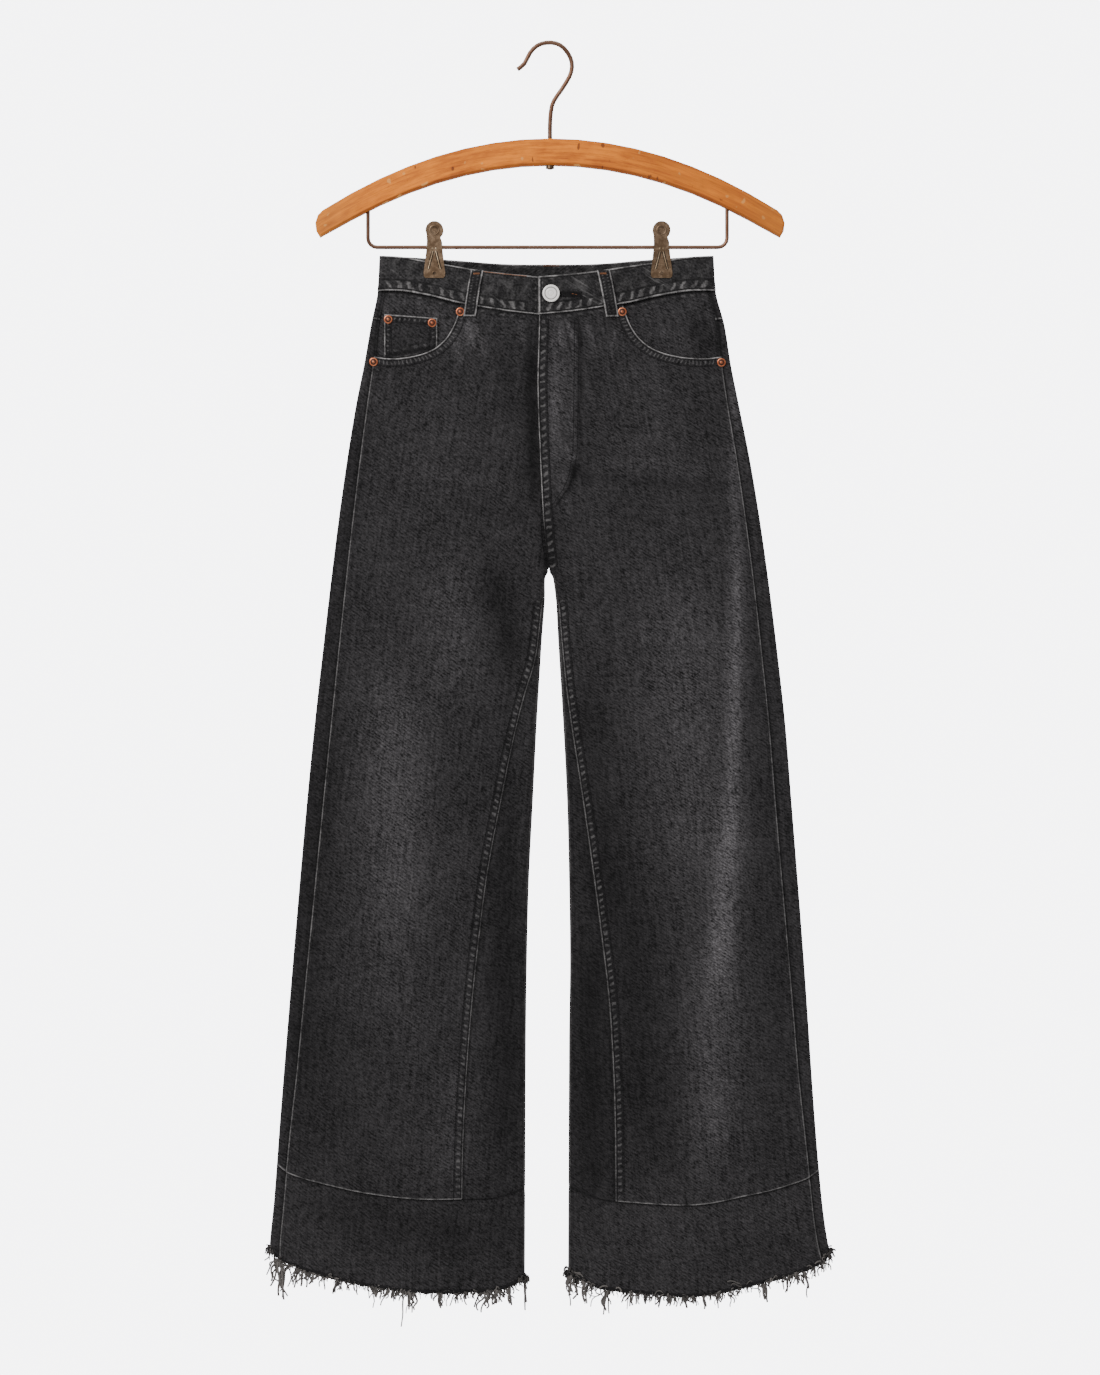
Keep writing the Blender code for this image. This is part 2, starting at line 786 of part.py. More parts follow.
def fringe(name, hem, seed):
    """The frayed strip under a hem's edge, with the threads that hang from it."""
    chance = random.Random(seed)
    lengths = [(hem[i + 1][0] - hem[i][0]).length for i in range(len(hem) - 1)]
    stops = [sum(lengths[:i]) for i in range(len(hem))]

    def hem_at(distance):
        """Point and normal on the straight lines between the hem's points."""
        i = next((i for i in range(1, len(stops)) if stops[i] >= distance - 1e-6), len(stops) - 1)
        share = (distance - stops[i - 1]) / (stops[i] - stops[i - 1])
        point = hem[i - 1][0].lerp(hem[i][0], share)
        return point, hem[i - 1][1].lerp(hem[i][1], share).normalized()

    marks = sorted({*stops, *(stops[-1] * i / THREADS for i in range(THREADS + 1))})
    marks = [m for i, m in enumerate(marks) if m in stops or is_clear(m, stops)]

    def place(column, row):
        point, normal = hem_at(marks[column])
        down = SEAM_GAP + (FRAYED_EDGE - SEAM_GAP) * row
        return point - Vector((0, 0, down)), normal

    strip = lay_cloth(name, len(marks) - 1, 1, place, DENIM)
    mesh = bmesh.new()
    mesh.from_mesh(strip.data)
    roots = [f for f in mesh.faces if f.normal.z < -0.6]
    for root in sorted(roots, key=lambda f: f.calc_center_median()[:]):
        add_thread(mesh, root, chance)
    bmesh.ops.recalc_face_normals(mesh, faces=mesh.faces[:])
    mesh.to_mesh(strip.data)
    mesh.free()
    return strip


def is_clear(mark, stops):
    """Whether a mark lies far enough from each of the stops."""
    return all(abs(mark - stop) > 1.5 for stop in stops)


def add_thread(mesh, root, chance):
    """A tapered thread drawn down from one face of a strip's lower edge."""
    length = SHORTEST_THREAD + THREAD_SPREAD * chance.random() ** 2.2
    drift = Vector((chance.uniform(-0.3, 0.3), chance.uniform(-0.12, 0.12), 0)) * length
    neck = bmesh.ops.extrude_discrete_faces(mesh, faces=[root])["faces"][0]
    middle = neck.calc_center_median()
    sides = sorted((e.calc_length() for e in neck.edges), reverse=True)
    for vert in neck.verts:
        away = vert.co - middle
        along_edge = min(1.0, THREAD_WIDTH * MM / sides[0])
        vert.co = middle + away * along_edge + Vector((0, 0, -THREAD_ROOT)) * MM + drift * 0.15 * MM
    tip = bmesh.ops.extrude_discrete_faces(mesh, faces=[neck])["faces"][0]
    end = tip.calc_center_median() + (drift + Vector((0, 0, -length))) * MM
    bmesh.ops.pointmerge(mesh, verts=tip.verts[:], merge_co=end)


WAIST_SHARES = (0, 0.06, 0.14, 0.22, 0.3, 0.38, 0.46, 0.55, 0.66, 0.78, 0.9, 1)
WAIST_MIDDLE = 20.0


def waistband():
    """The waistband: one strip from the tab, round the left side, the back and the right side."""
    rows = 2

    def stations(half, face, drop):
        """Girths from the outer fold to the centre."""
        total = full_girth(width(half, face, drop))
        flat = [blend(FOLD_QUARTER, total, share) for share in WAIST_SHARES]
        return [0, FOLD_QUARTER / 2, *flat]

    def strip(drop):
        """Each column's half, face, girth and sink, from the tab to the underlap."""
        tab = [(LEFT, -g, 0.0) for g in reversed(stations(LEFT, FRONT, drop))]
        left_back = [(LEFT, g, 0.0) for g in stations(LEFT, BACK, drop)[1:]]
        right_back = [(RIGHT, g, 0.0) for g in reversed(stations(RIGHT, BACK, drop)[:-1])]
        front = [(RIGHT, -g, 0.0) for g in stations(RIGHT, FRONT, drop)[1:-1]]
        end = full_girth(width(RIGHT, FRONT, drop))
        under = [(RIGHT, -(end - FLY_STEP), FIRST_SINK), (RIGHT, -(end - 1), 1.0)]
        under += [(RIGHT, -(end + WAIST_UNDERLAP * share), 1.0) for share in (0.5, 1)]
        return [*tab, *left_back, *right_back, *front[:-1], *under]

    def place(column, row):
        half, around, sink = strip(WAIST_MIDDLE)[column]
        face = FRONT if around < 0 else BACK

        def level(share):
            top = waist_level(face, "top")(share)
            return blend(top, waist_level(face, "seam")(share) - SEAM_GAP / 2, row / rows)

        around, drop = settle(half, level, lambda d: strip(d)[column][1])
        normal = outward(half, around, drop)
        if column == 0:
            around += SEAM_GAP / 2
        return cloth(half, around, drop) - normal * sink * WAIST_SINK, normal

    return lay_cloth("waistband", len(strip(WAIST_MIDDLE)) - 1, rows, place, WAISTBAND_WALL)


def on_face(x, face, drop, lift):
    """Point and normal at an x on a face of the garment, a lift above the middle of the cloth."""
    half, around = spot(x, face, drop)
    normal = outward(half, around, drop)
    return cloth(half, around, drop) + normal * lift, normal


def pocket_facing(half):
    """The cloth behind a front pocket's opening."""
    columns, rows = 9, 5
    inner = POCKET_CORNERS[half] - POCKET_UNDERLAY

    def place(column, row):
        drop = 60.0
        for _ in range(4):
            start = outer_edge(half, drop) - along(SIDE_SEAMS, "inset", drop) - SEAM_GAP / 2
            distance = blend(start, inner, column / columns)
            reach = outer_edge(half, drop) - distance
            share = reach / width(half, FRONT, drop)
            seam = waist_level(FRONT, "seam")(share) + SEAM_GAP / 2
            low = max(pocket_drop(half, distance, seam) + POCKET_UNDERLAY, seam + 30)
            drop = blend(seam, low, row / rows)
        sink = DENIM + SEAM_GAP + FACING_SLACK * column / columns
        return on_face(half * distance, FRONT, drop, -sink)

    return lay_cloth(f"pocket_facing_{named(half)}", columns, rows, place, DENIM)


class CoinEdge(NamedTuple):
    """A side of the coin pocket: its x, and the drop of its upper corner."""

    x: float
    drop: float


COIN_EDGES = (CoinEdge(-165.5, 57.5), CoinEdge(-112.5, 62))


def coin_pocket():
    """The small pocket on the right facing, down to the edge of the front pocket."""
    columns, rows = 5, 4
    lift = POCKET_CLOTH / 2 - DENIM / 2
    outer, inner = COIN_EDGES

    def place(column, row):
        x = blend(outer.x, inner.x, column / columns)
        top = blend(outer.drop, inner.drop, column / columns)
        low = pocket_drop(RIGHT, -x, 0) - 2 * SEAM_GAP
        return on_face(x, FRONT, blend(top, low, row / rows), lift)

    return lay_cloth("coin_pocket", columns, rows, place, POCKET_CLOTH)


BACK_POCKET_MIDDLE = 98.0
BACK_POCKET_TOP = 118.0
BACK_POCKET_LOW = 252.0
BACK_POCKET_WIDTHS = (146.0, 126.0)
BACK_POCKET_POINT = 20.0
BACK_POCKET_TILT = 10.0
BACK_POCKET_SLACK = 0.8


def back_pocket(half):
    """A plain patch pocket on a back leg, pointed at the bottom."""
    columns, rows = 6, 5
    lift = DENIM + SEAM_GAP + BACK_POCKET_SLACK

    def place(column, row):
        across, down = column / columns - 0.5, row / rows
        x = half * (BACK_POCKET_MIDDLE + across * blend(*BACK_POCKET_WIDTHS, down))
        top = BACK_POCKET_TOP - BACK_POCKET_TILT * across
        low = BACK_POCKET_LOW + BACK_POCKET_POINT * (1 - 2 * abs(across))
        return on_face(x, BACK, blend(top, low, down), lift)

    return lay_cloth(f"back_pocket_{named(half)}", columns, rows, place, DENIM)


class Loop(NamedTuple):
    """A belt loop: its face, and its x at the top and at the bottom."""

    face: int
    top_x: float
    low_x: float


LOOPS = (
    Loop(FRONT, -72, -80),
    Loop(FRONT, 53, 62),
    Loop(BACK, -146, -149),
    Loop(BACK, 0.5, 0.5),
    Loop(BACK, 140, 143),
)
LOOP_WIDTH = 12.0
LOOP_BELOW_BAND = 12.0
LOOP_LIFTS = (0, 0.5, 1.2, 1.2, 0.5, 0)


def belt_loop(number, loop):
    """A belt loop on the waistband, standing a little off it between its ends."""
    rows = len(LOOP_LIFTS) - 1
    base = WAISTBAND_WALL / 2 + SEAM_GAP + LOOP_WALL / 2

    def edge_drop(name, x):
        half, around = spot(x, loop.face, WAIST_MIDDLE)
        return waist_level(loop.face, name)(share_across(half, around, WAIST_MIDDLE))

    def place(column, row):
        x = blend(loop.top_x, loop.low_x, row / rows) + (column / 2 - 0.5) * LOOP_WIDTH
        top = edge_drop("top", loop.top_x) + 0.5
        low = edge_drop("seam", loop.low_x) + LOOP_BELOW_BAND
        return on_face(x, loop.face, blend(top, low, row / rows), base + LOOP_LIFTS[row])

    return lay_cloth(f"belt_loop_{number}", 2, rows, place, LOOP_WALL)


class Stud(NamedTuple):
    """Place of a rivet on the front, and the lift of the cloth under it."""

    x: float
    drop: float
    cloth_top: float


RIVETS = (
    Stud(-89.5, 56, DENIM / 2),
    Stud(-176, 105.5, DENIM / 2),
    Stud(72, 56, DENIM / 2),
    Stud(171, 106, DENIM / 2),
    Stud(-161.5, 63, POCKET_CLOTH - DENIM / 2),
    Stud(-117.5, 67, POCKET_CLOTH - DENIM / 2),
)
BUTTON_X = 1.0
BUTTON_DROP = 38.0


class Turning(NamedTuple):
    """A point of a turned piece's profile."""

    radius: float
    height: float


RIVET_PROFILE = (
    Turning(0, 1.5),
    Turning(2.4, 1.4),
    Turning(4.0, 0.8),
    Turning(4.2, 0.2),
    Turning(4.2, 0),
    Turning(0, 0),
)
BUTTON_PROFILE = (
    Turning(0, 3.6),
    Turning(6.2, 3.5),
    Turning(7.0, 4.1),
    Turning(8.0, 3.9),
    Turning(8.5, 3.0),
    Turning(7.6, 2.0),
    Turning(3.2, 1.8),
    Turning(3.2, 0),
    Turning(0, 0),
)


def turned(name, profile, steps):
    """A turned piece: a profile of radius and height in millimetres, swept round its own +Z."""
    data = bpy.data.meshes.new(name)
    points = [Vector((radius, 0, height)) * MM for radius, height in profile]
    data.from_pydata(points, [(i, i + 1) for i in range(len(points) - 1)], [])
    obj = add_part(bpy.data.objects.new(name, data))
    screw = obj.modifiers.new("turn", "SCREW")
    screw.steps = steps
    screw.render_steps = steps
    screw.use_merge_vertices = True
    screw.merge_threshold = 0.00001
    screw.use_smooth_shade = True
    return obj


def seat_on(obj, x, drop, lift):
    """Turns and moves a turned piece on to the front of the garment."""
    point, normal = on_face(x, FRONT, drop, lift)
    obj.location = point * MM
    obj.rotation_mode = "QUATERNION"
    obj.rotation_quaternion = normal.to_track_quat("Z", "Y")


def trims():
    """The button and the rivets."""
    for number, stud in enumerate(RIVETS, 1):
        rivet = turned(f"rivet_{number}", RIVET_PROFILE, 12)
        seat_on(rivet, stud.x, stud.drop, stud.cloth_top + SEAM_GAP)
    button = turned("button", BUTTON_PROFILE, 16)
    seat_on(button, BUTTON_X, BUTTON_DROP, WAISTBAND_WALL / 2 + SEAM_GAP)


ARM_CENTRE_TOP = -94.0
ARM_HEIGHT = 26.5
ARM_HALF_LENGTH = 227.0
ARM_CURVE = 720.0
ARM_THICKNESS = 13.0
ARM_BEVEL = 2.0
HOOK_WIRE = 2.25
BAR_WIRE = 2.0
BORE_CLEARANCE = 0.3
BAR_X = {RIGHT: -182.0, LEFT: 177.0}
BAR_Z = -202.3
BAR_CORNER = 9.0
BAR_DEPTH_IN_ARM = 10.0
HOOK_END = -124.6
NUT_RADIUS = 4.2
NUT_HEIGHT = 3.0


class ProfilePoint(NamedTuple):
    """A point of an outline or of a wire's middle, as seen from the front."""

    x: float
    z: float


# The arm's rounded end, from the end of its top edge.
ARM_TIP = (
    ProfilePoint(5, -5),
    ProfilePoint(7.5, -13),
    ProfilePoint(6.5, -21),
    ProfilePoint(3, -27),
)


def arm_top(x):
    """Height of the hanger arm's top edge."""
    return ARM_CENTRE_TOP - x * x / ARM_CURVE


def wire(name, points, radius, resolution=2):
    """A round wire through points in millimetres."""
    data = bpy.data.curves.new(name, "CURVE")
    data.dimensions = "3D"
    data.bevel_depth = radius * MM
    data.bevel_resolution = resolution
    data.use_fill_caps = True
    spline = data.splines.new("POLY")
    spline.points.add(len(points) - 1)
    for target, point in zip(spline.points, points):
        target.co = (*(Vector(point) * MM), 1)
    return add_part(bpy.data.objects.new(name, data))


def plate(name, outlines, thickness, bevel=0.0):
    """A flat plate in the XZ plane from closed outlines in millimetres; the inner ones are holes."""
    data = bpy.data.curves.new(name, "CURVE")
    data.dimensions = "2D"
    data.fill_mode = "BOTH"
    data.extrude = (thickness / 2 - bevel) * MM
    data.bevel_depth = bevel * MM
    data.bevel_resolution = 0
    data.offset = -bevel * MM
    for outline in outlines:
        spline = data.splines.new("POLY")
        spline.points.add(len(outline) - 1)
        spline.use_cyclic_u = True
        for target, (x, z) in zip(spline.points, outline):
            target.co = (x * MM, z * MM, 0, 1)
    obj = add_part(bpy.data.objects.new(name, data))
    obj.rotation_euler.x = math.pi / 2
    return obj


def as_mesh(obj):
    """Replaces a curve object by a mesh with welded caps, which a Boolean can cut."""
    bpy.context.view_layer.update()
    graph = bpy.context.evaluated_depsgraph_get()
    data = bpy.data.meshes.new_from_object(obj.evaluated_get(graph))
    mesh = bmesh.new()
    mesh.from_mesh(data)
    bmesh.ops.remove_doubles(mesh, verts=mesh.verts[:], dist=1e-5)
    mesh.to_mesh(data)
    mesh.free()
    name, place = obj.name, obj.matrix_world.copy()
    bpy.data.objects.remove(obj)
    made = add_part(bpy.data.objects.new(name, data))
    made.matrix_world = place
    return made


def bore(part, x, low, high, radius):
    """Cuts an upright bore in a part, with a cylinder between two heights."""
    middle = Vector((x, 0, (low + high) / 2)) * MM
    bpy.ops.mesh.primitive_cylinder_add(
        vertices=16, radius=radius * MM, depth=(high - low) * MM, location=middle
    )
    cutter = bpy.context.object
    cutter.name = f"cutter_{part.name}_{len(CUTTERS.objects)}"
    for collection in cutter.users_collection:
        collection.objects.unlink(cutter)
    CUTTERS.objects.link(cutter)
    cutter.hide_render = True
    cutter.display_type = "WIRE"
    cut = part.modifiers.new(cutter.name, "BOOLEAN")
    cut.operation = "DIFFERENCE"
    cut.object = cutter


def hanger_arm():
    """The arched wooden arm, with bores for the hook and for the trouser bar's two ends."""
    steps = 16
    spread = [blend(-ARM_HALF_LENGTH, ARM_HALF_LENGTH, i / steps) for i in range(steps + 1)]
    end_top = arm_top(ARM_HALF_LENGTH)
    outline = [(x, arm_top(x)) for x in spread]
    outline += [(ARM_HALF_LENGTH + x, end_top + z) for x, z in ARM_TIP]
    outline += [(x, arm_top(x) - ARM_HEIGHT) for x in reversed(spread[1:-1])]
    outline += [(-ARM_HALF_LENGTH - x, end_top + z) for x, z in reversed(ARM_TIP)]
    arm = as_mesh(plate("hanger_arm", [outline], ARM_THICKNESS, ARM_BEVEL))
    bore(arm, 0, HOOK_END - 20, arm_top(0) + 20, HOOK_WIRE + BORE_CLEARANCE)
    for x in BAR_X.values():
        low = arm_top(x) - ARM_HEIGHT
        bore(arm, x, low - 20, low + BAR_DEPTH_IN_ARM + 0.5, BAR_WIRE + BORE_CLEARANCE)


HOOK_ROUTE = (
    ProfilePoint(-32.5, -24.5),
    ProfilePoint(-25.5, -18.5),
    ProfilePoint(-20, -8),
    ProfilePoint(-13, -0.8),
    ProfilePoint(-4, 2.25),
    ProfilePoint(6, 1.6),
    ProfilePoint(14, -3.2),
    ProfilePoint(20.3, -12.5),
    ProfilePoint(22, -22),
    ProfilePoint(19.3, -32),
    ProfilePoint(11.5, -44.7),
    ProfilePoint(3.8, -56),
    ProfilePoint(1, -66),
    ProfilePoint(0, -80),
    ProfilePoint(0, -94),
)


def hook():
    """The hook's wire, its shank through the arm, and the nut under the arm."""
    steps = 2
    points = []
    for i in range(len(HOOK_ROUTE) - 1):
        nearby = [HOOK_ROUTE[min(max(i + k, 0), len(HOOK_ROUTE) - 1)] for k in (-1, 0, 1, 2)]
        before, start, end, after = (Vector((p.x, 0, p.z)) for p in nearby)
        for step in range(steps):
            t = step / steps
            leave, arrive, reach = (end - before) / 2, (after - start) / 2, end - start
            bend, twist = 3 * reach - 2 * leave - arrive, leave + arrive - 2 * reach
            points.append(start + leave * t + bend * t * t + twist * t**3)
    points += [Vector((0, 0, HOOK_ROUTE[-1].z)), Vector((0, 0, HOOK_END))]
    wire("hook", points, HOOK_WIRE)
    low = arm_top(0) - ARM_HEIGHT - SEAM_GAP
    turned("hook_nut", ring(HOOK_WIRE + BORE_CLEARANCE, NUT_RADIUS, low - NUT_HEIGHT, low), 12)


def ring(inner, outer, low, high):
    """The closed profile of a ring round a turned piece's axis."""
    return [(outer, high), (outer, low), (inner, low), (inner, high), (outer, high)]


def trouser_bar():
    """The wire bar: its two ends in the arm, round corners and the straight stretch."""
    turns = [math.radians(angle) for angle in (0, 22.5, 45, 67.5, 90)]
    ends = []
    for side in (RIGHT, LEFT):
        top = arm_top(BAR_X[side]) - ARM_HEIGHT + BAR_DEPTH_IN_ARM
        end = [(BAR_X[side], 0, top)]
        for turn in turns:
            x = BAR_X[side] - side * BAR_CORNER * (1 - math.cos(turn))
            end.append((x, 0, BAR_Z + BAR_CORNER * (1 - math.sin(turn))))
        ends.append(end)
    middle = [(x, 0, BAR_Z) for x in (-90, 0, 90)]
    wire("trouser_bar", ends[0] + middle + ends[1][::-1], BAR_WIRE)


CLIP_X = {RIGHT: -115.5, LEFT: 111.5}
CLIP_HEAD_Z = -185.3
CLIP_HEAD_RADIUS = 9.0
CLIP_EYELET = 3.2
CLIP_PLATE = 1.2
CLIP_HEAD_START = -50.0
CLIP_HEAD_TURN = 280.0
SPRING_HALF_LENGTH = 6.0
JAW_GAP = GRIP_DEPTH + WAISTBAND_WALL / 2 + SEAM_GAP

# One side of a clip's neck and jaw, from the head down.
CLIP_JAW = (
    ProfilePoint(7.6, -197),
    ProfilePoint(8.0, -204),
    ProfilePoint(9.4, -217),
    ProfilePoint(10.8, -228),
    ProfilePoint(10.6, -231.5),
    ProfilePoint(9.0, -233.3),
)


def arc(radius, start, turn, steps):
    """Points round the middle of a clip's head, on an arc in degrees."""
    angles = [math.radians(start + turn * i / steps) for i in range(steps)]
    return [(radius * math.cos(a), CLIP_HEAD_Z + radius * math.sin(a)) for a in angles]


def clip(side):
    """A spring clip: two plates that grip the waistband, and the spring's coil round the bar."""
    head = arc(CLIP_HEAD_RADIUS, CLIP_HEAD_START, CLIP_HEAD_TURN, 13)
    outline = [*head, *((-x, z) for x, z in CLIP_JAW), *reversed(CLIP_JAW)]
    eyelet = arc(CLIP_EYELET, 0, 360, 10)
    shifted = [[(x + CLIP_X[side], z) for x, z in loop] for loop in (outline, eyelet)]
    for face in (FRONT, BACK):
        jaws = plate(f"clip_{faced(face)}_{named(side)}", shifted, CLIP_PLATE)
        jaws.location.y = face * (JAW_GAP + CLIP_PLATE / 2) * MM
    inner, outer = BAR_WIRE + BORE_CLEARANCE, JAW_GAP - SEAM_GAP
    profile = ring(inner, outer, -SPRING_HALF_LENGTH, SPRING_HALF_LENGTH)
    coil = turned(f"clip_spring_{named(side)}", profile, 16)
    coil.rotation_euler.y = math.pi / 2
    coil.location = Vector((CLIP_X[side], 0, BAR_Z)) * MM


def clear_scene():
    """Removes what the scene holds, and makes the garment's and the cutters' collections."""
    global PARTS, CUTTERS
    for obj in list(bpy.data.objects):
        bpy.data.objects.remove(obj)
    PARTS = bpy.data.collections.new("denim_culottes")
    CUTTERS = bpy.data.collections.new("cutters")
    for collection in (PARTS, CUTTERS):
        bpy.context.scene.collection.children.link(collection)
    CUTTERS.hide_render = True


def main():
    """Builds the garment and the hanger that holds it."""
    clear_scene()
    for half in (RIGHT, LEFT):
        front_panel(half)
        back_panel(half)
        back_yoke(half)
        pocket_facing(half)
        back_pocket(half)
        for face in (FRONT, BACK):
            gusset(half, face)
            hem_band(half, face)
        clip(half)
    waistband()
    coin_pocket()
    for number, loop in enumerate(LOOPS, 1):
        belt_loop(number, loop)
    trims()
    hanger_arm()
    hook()
    trouser_bar()


main()
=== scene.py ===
"""Wide-leg denim culottes on a wooden trouser hanger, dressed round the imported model.

The frame is in metres, +Z up, with the garment's front at -Y. Sizes below are in millimetres.
"right" and "left" are the wearer's, so the right leg lies at -X. A drop is measured downwards from
the top corners of the waistband.
"""

import logging
import math
from dataclasses import dataclass, field
from enum import Enum
from functools import partial
from typing import Any, Callable, Iterable, NamedTuple, Optional, Sequence

import bmesh
import bpy
import numpy as np
from mathutils import Matrix, Vector


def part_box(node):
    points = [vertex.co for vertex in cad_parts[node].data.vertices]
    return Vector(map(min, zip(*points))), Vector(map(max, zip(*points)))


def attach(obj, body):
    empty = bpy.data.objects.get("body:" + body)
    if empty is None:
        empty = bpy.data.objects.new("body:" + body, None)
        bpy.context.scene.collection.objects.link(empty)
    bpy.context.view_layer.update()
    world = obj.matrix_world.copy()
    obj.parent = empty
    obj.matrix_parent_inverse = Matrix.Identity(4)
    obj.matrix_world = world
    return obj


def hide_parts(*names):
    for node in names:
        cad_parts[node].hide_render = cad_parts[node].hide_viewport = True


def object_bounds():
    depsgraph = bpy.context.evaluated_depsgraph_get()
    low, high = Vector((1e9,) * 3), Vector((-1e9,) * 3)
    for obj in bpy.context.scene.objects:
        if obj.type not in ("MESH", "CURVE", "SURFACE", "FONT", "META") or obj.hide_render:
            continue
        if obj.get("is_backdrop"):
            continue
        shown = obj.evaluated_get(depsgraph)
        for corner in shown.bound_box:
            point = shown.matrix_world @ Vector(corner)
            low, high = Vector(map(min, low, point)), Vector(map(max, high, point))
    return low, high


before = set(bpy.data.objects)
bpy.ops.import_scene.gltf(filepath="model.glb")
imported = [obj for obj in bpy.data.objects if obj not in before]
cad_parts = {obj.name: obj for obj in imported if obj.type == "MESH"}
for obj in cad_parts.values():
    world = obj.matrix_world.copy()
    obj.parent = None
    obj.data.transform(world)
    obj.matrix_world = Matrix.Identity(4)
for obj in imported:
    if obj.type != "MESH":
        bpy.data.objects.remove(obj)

CAD_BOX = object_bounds()
LOG = logging.getLogger("culottes")

Array = np.ndarray
Number = float | np.ndarray
Piece = bpy.types.Object

MM = 0.001
METRE = (1000, 1000, 1000)
WAIST_BELOW_ORIGIN = 212.0
RIGHT, LEFT = -1, 1
FRONT, BACK = -1, 1
HALVES = (RIGHT, LEFT)
FACES = (FRONT, BACK)

DENIM = 1.8
WAISTBAND_WALL = 2.6
POCKET_CLOTH = 1.2
LOOP_WALL = 2.0
SEAM_GAP = 0.3
FOLD_RADIUS = 3.0
FOLD_QUARTER = FOLD_RADIUS * math.pi / 2
LENS_POWER = 2.4
INNER_ARCH = 42.0
LEG_BLEND = 70.0

SEAT_TOP = 215.0
CROTCH = 315.0
PARTING_TOP = 225.0
PARTING_LENGTH = 70.0
CROTCH_SLACK = 0.35
CROTCH_BLEND = 6.0
GUSSET_TOP = 345.0
FRAYED_EDGE = 5.0

CLIP_REACH = 113.5
GRIP_HALF_WIDTH = 17.0
GRIP_LOW_DROP = 28.0
GRIP_LENGTH = 105.0
GRIP_FADE = 50.0
GRIP_SLOPE = 0.2
GRIP_DEPTH = WAISTBAND_WALL / 2 + SEAM_GAP / 2

FLY_UNDERLAP = 14.0
FLY_SINK = DENIM + SEAM_GAP
FLY_END = 255.0
FLY_TAPER = 40.0
CROTCH_UNDERLAP = 5.0
WAIST_UNDERLAP = 28.0
WAIST_SINK = WAISTBAND_WALL + SEAM_GAP
WAIST_MIDDLE = 20.0


def blend(low: Number, high: Number, share: Number) -> Number:
    """The value that lies a share of the way from low to high."""
    return low + (high - low) * share


def smooth(value: Number) -> Array:
    """0 below 0, 1 above 1, and a smooth rise between them."""
    value = np.clip(value, 0.0, 1.0)
    return value * value * (3 - 2 * value)


def side_name(half: int) -> str:
    """The word for a half of the garment in the names of pieces."""
    return "left" if half == LEFT else "right"


def face_name(face: int) -> str:
    """The word for a face of the garment in the names of pieces."""
    return "front" if face == FRONT else "back"


class Curve:
    """A smooth line through numbers against their keys."""

    def __init__(self, keys: Sequence[float], values: Sequence[float]) -> None:
        """Takes the keys, which rise, and the number at each."""
        self.keys, self.values = np.array(keys, float), np.array(values, float)
        place = np.arange(len(keys))
        before, after = np.maximum(place - 1, 0), np.minimum(place + 1, len(keys) - 1)
        rise = self.values[after] - self.values[before]
        self.slopes = rise / (self.keys[after] - self.keys[before])

    def __call__(self, key: Number) -> Array:
        """The curve's value at a key.

        Args:
            key: one key or an array of them.

        Returns:
            The value at each key, held at the table's ends beyond them.
        """
        key = np.clip(np.asarray(key, float), self.keys[0], self.keys[-1])
        low = np.clip(np.searchsorted(self.keys, key, "right") - 1, 0, len(self.keys) - 2)
        step = self.keys[low + 1] - self.keys[low]
        t = (key - self.keys[low]) / step
        rise = self.values[low + 1] - self.values[low]
        start, end = self.slopes[low] * step, self.slopes[low + 1] * step
        bend, twist = 3 * rise - 2 * start - end, start + end - 2 * rise
        return self.values[low] + start * t + bend * t**2 + twist * t**3


def curves(columns: tuple, *rows: tuple[float, ...]) -> dict[Any, Curve]:
    """Reads a table, each row of which starts with its key.

    Args:
        columns: what the other columns are for.
        rows: the rows.

    Returns:
        The curve of each column.
    """
    keys, *numbers = zip(*rows)
    return {column: Curve(keys, values) for column, values in zip(columns, numbers)}


# Tables of the form. Each row starts with its key: a drop, or a share of a width.

# Distances from the centreline to the outer edges, and half the depth of the hollow.
OUTLINE = curves(
    (RIGHT, LEFT, "depth"),
    (-4, 170, 163, 9), (36, 172.5, 166, 11), (68, 179, 174.5, 13), (108, 186, 181, 15),
    (148, 194, 189, 17), (203, 203, 200, 19), (263, 211.5, 210, 20), (323, 219, 218.5, 21),
    (383, 226, 226, 21), (463, 235, 235, 22), (543, 243, 241.5, 23), (703, 257, 254, 25),
    (863, 270, 265, 27), (943, 276, 272, 28), (983, 280, 277.5, 28), (1005, 281, 283, 28),
)

# Distances from the centreline to the inner edge of each leg.
LEG_GAPS = curves(
    (RIGHT, LEFT),
    (315, 1.3, -0.7), (319, 4.2, 2.2), (325, 5, 3.6), (343, 5, 5.8), (383, 8, 8), (463, 13, 13),
    (543, 17, 17), (623, 21, 19), (703, 23, 20), (783, 24, 19), (1010, 25, 18),
)

# Where the fly's edge lies at the front, and the seat seam at the back.
CENTRE_SEAMS = curves(
    (FRONT, BACK),
    (0, -12, 0.5), (60, -11, 0.5), (130, -12.5, 0.5), (200, -10, 0), (255, -7, -0.5),
    (285, -4.5, -0.8), (315, -1, -1),
)

# How far the side seam lies inwards from the outer edge, on the front.
SIDE_INSET = Curve(*zip(
    (30, 4), (65, 5), (105, 8), (160, 11), (280, 14), (500, 16), (800, 13), (900, 10),
    (1005, 10),
))

# Width of the wedge that is let in along each inner leg.
GUSSETS = curves(
    (RIGHT, LEFT),
    (345, 1.6, 1.6), (400, 4, 3.2), (440, 13, 5), (490, 23, 9.5), (550, 32, 16), (610, 40, 23),
    (680, 47, 31), (750, 53, 39), (820, 58, 43.5), (900, 61.5, 45.5), (1005, 62, 46),
)

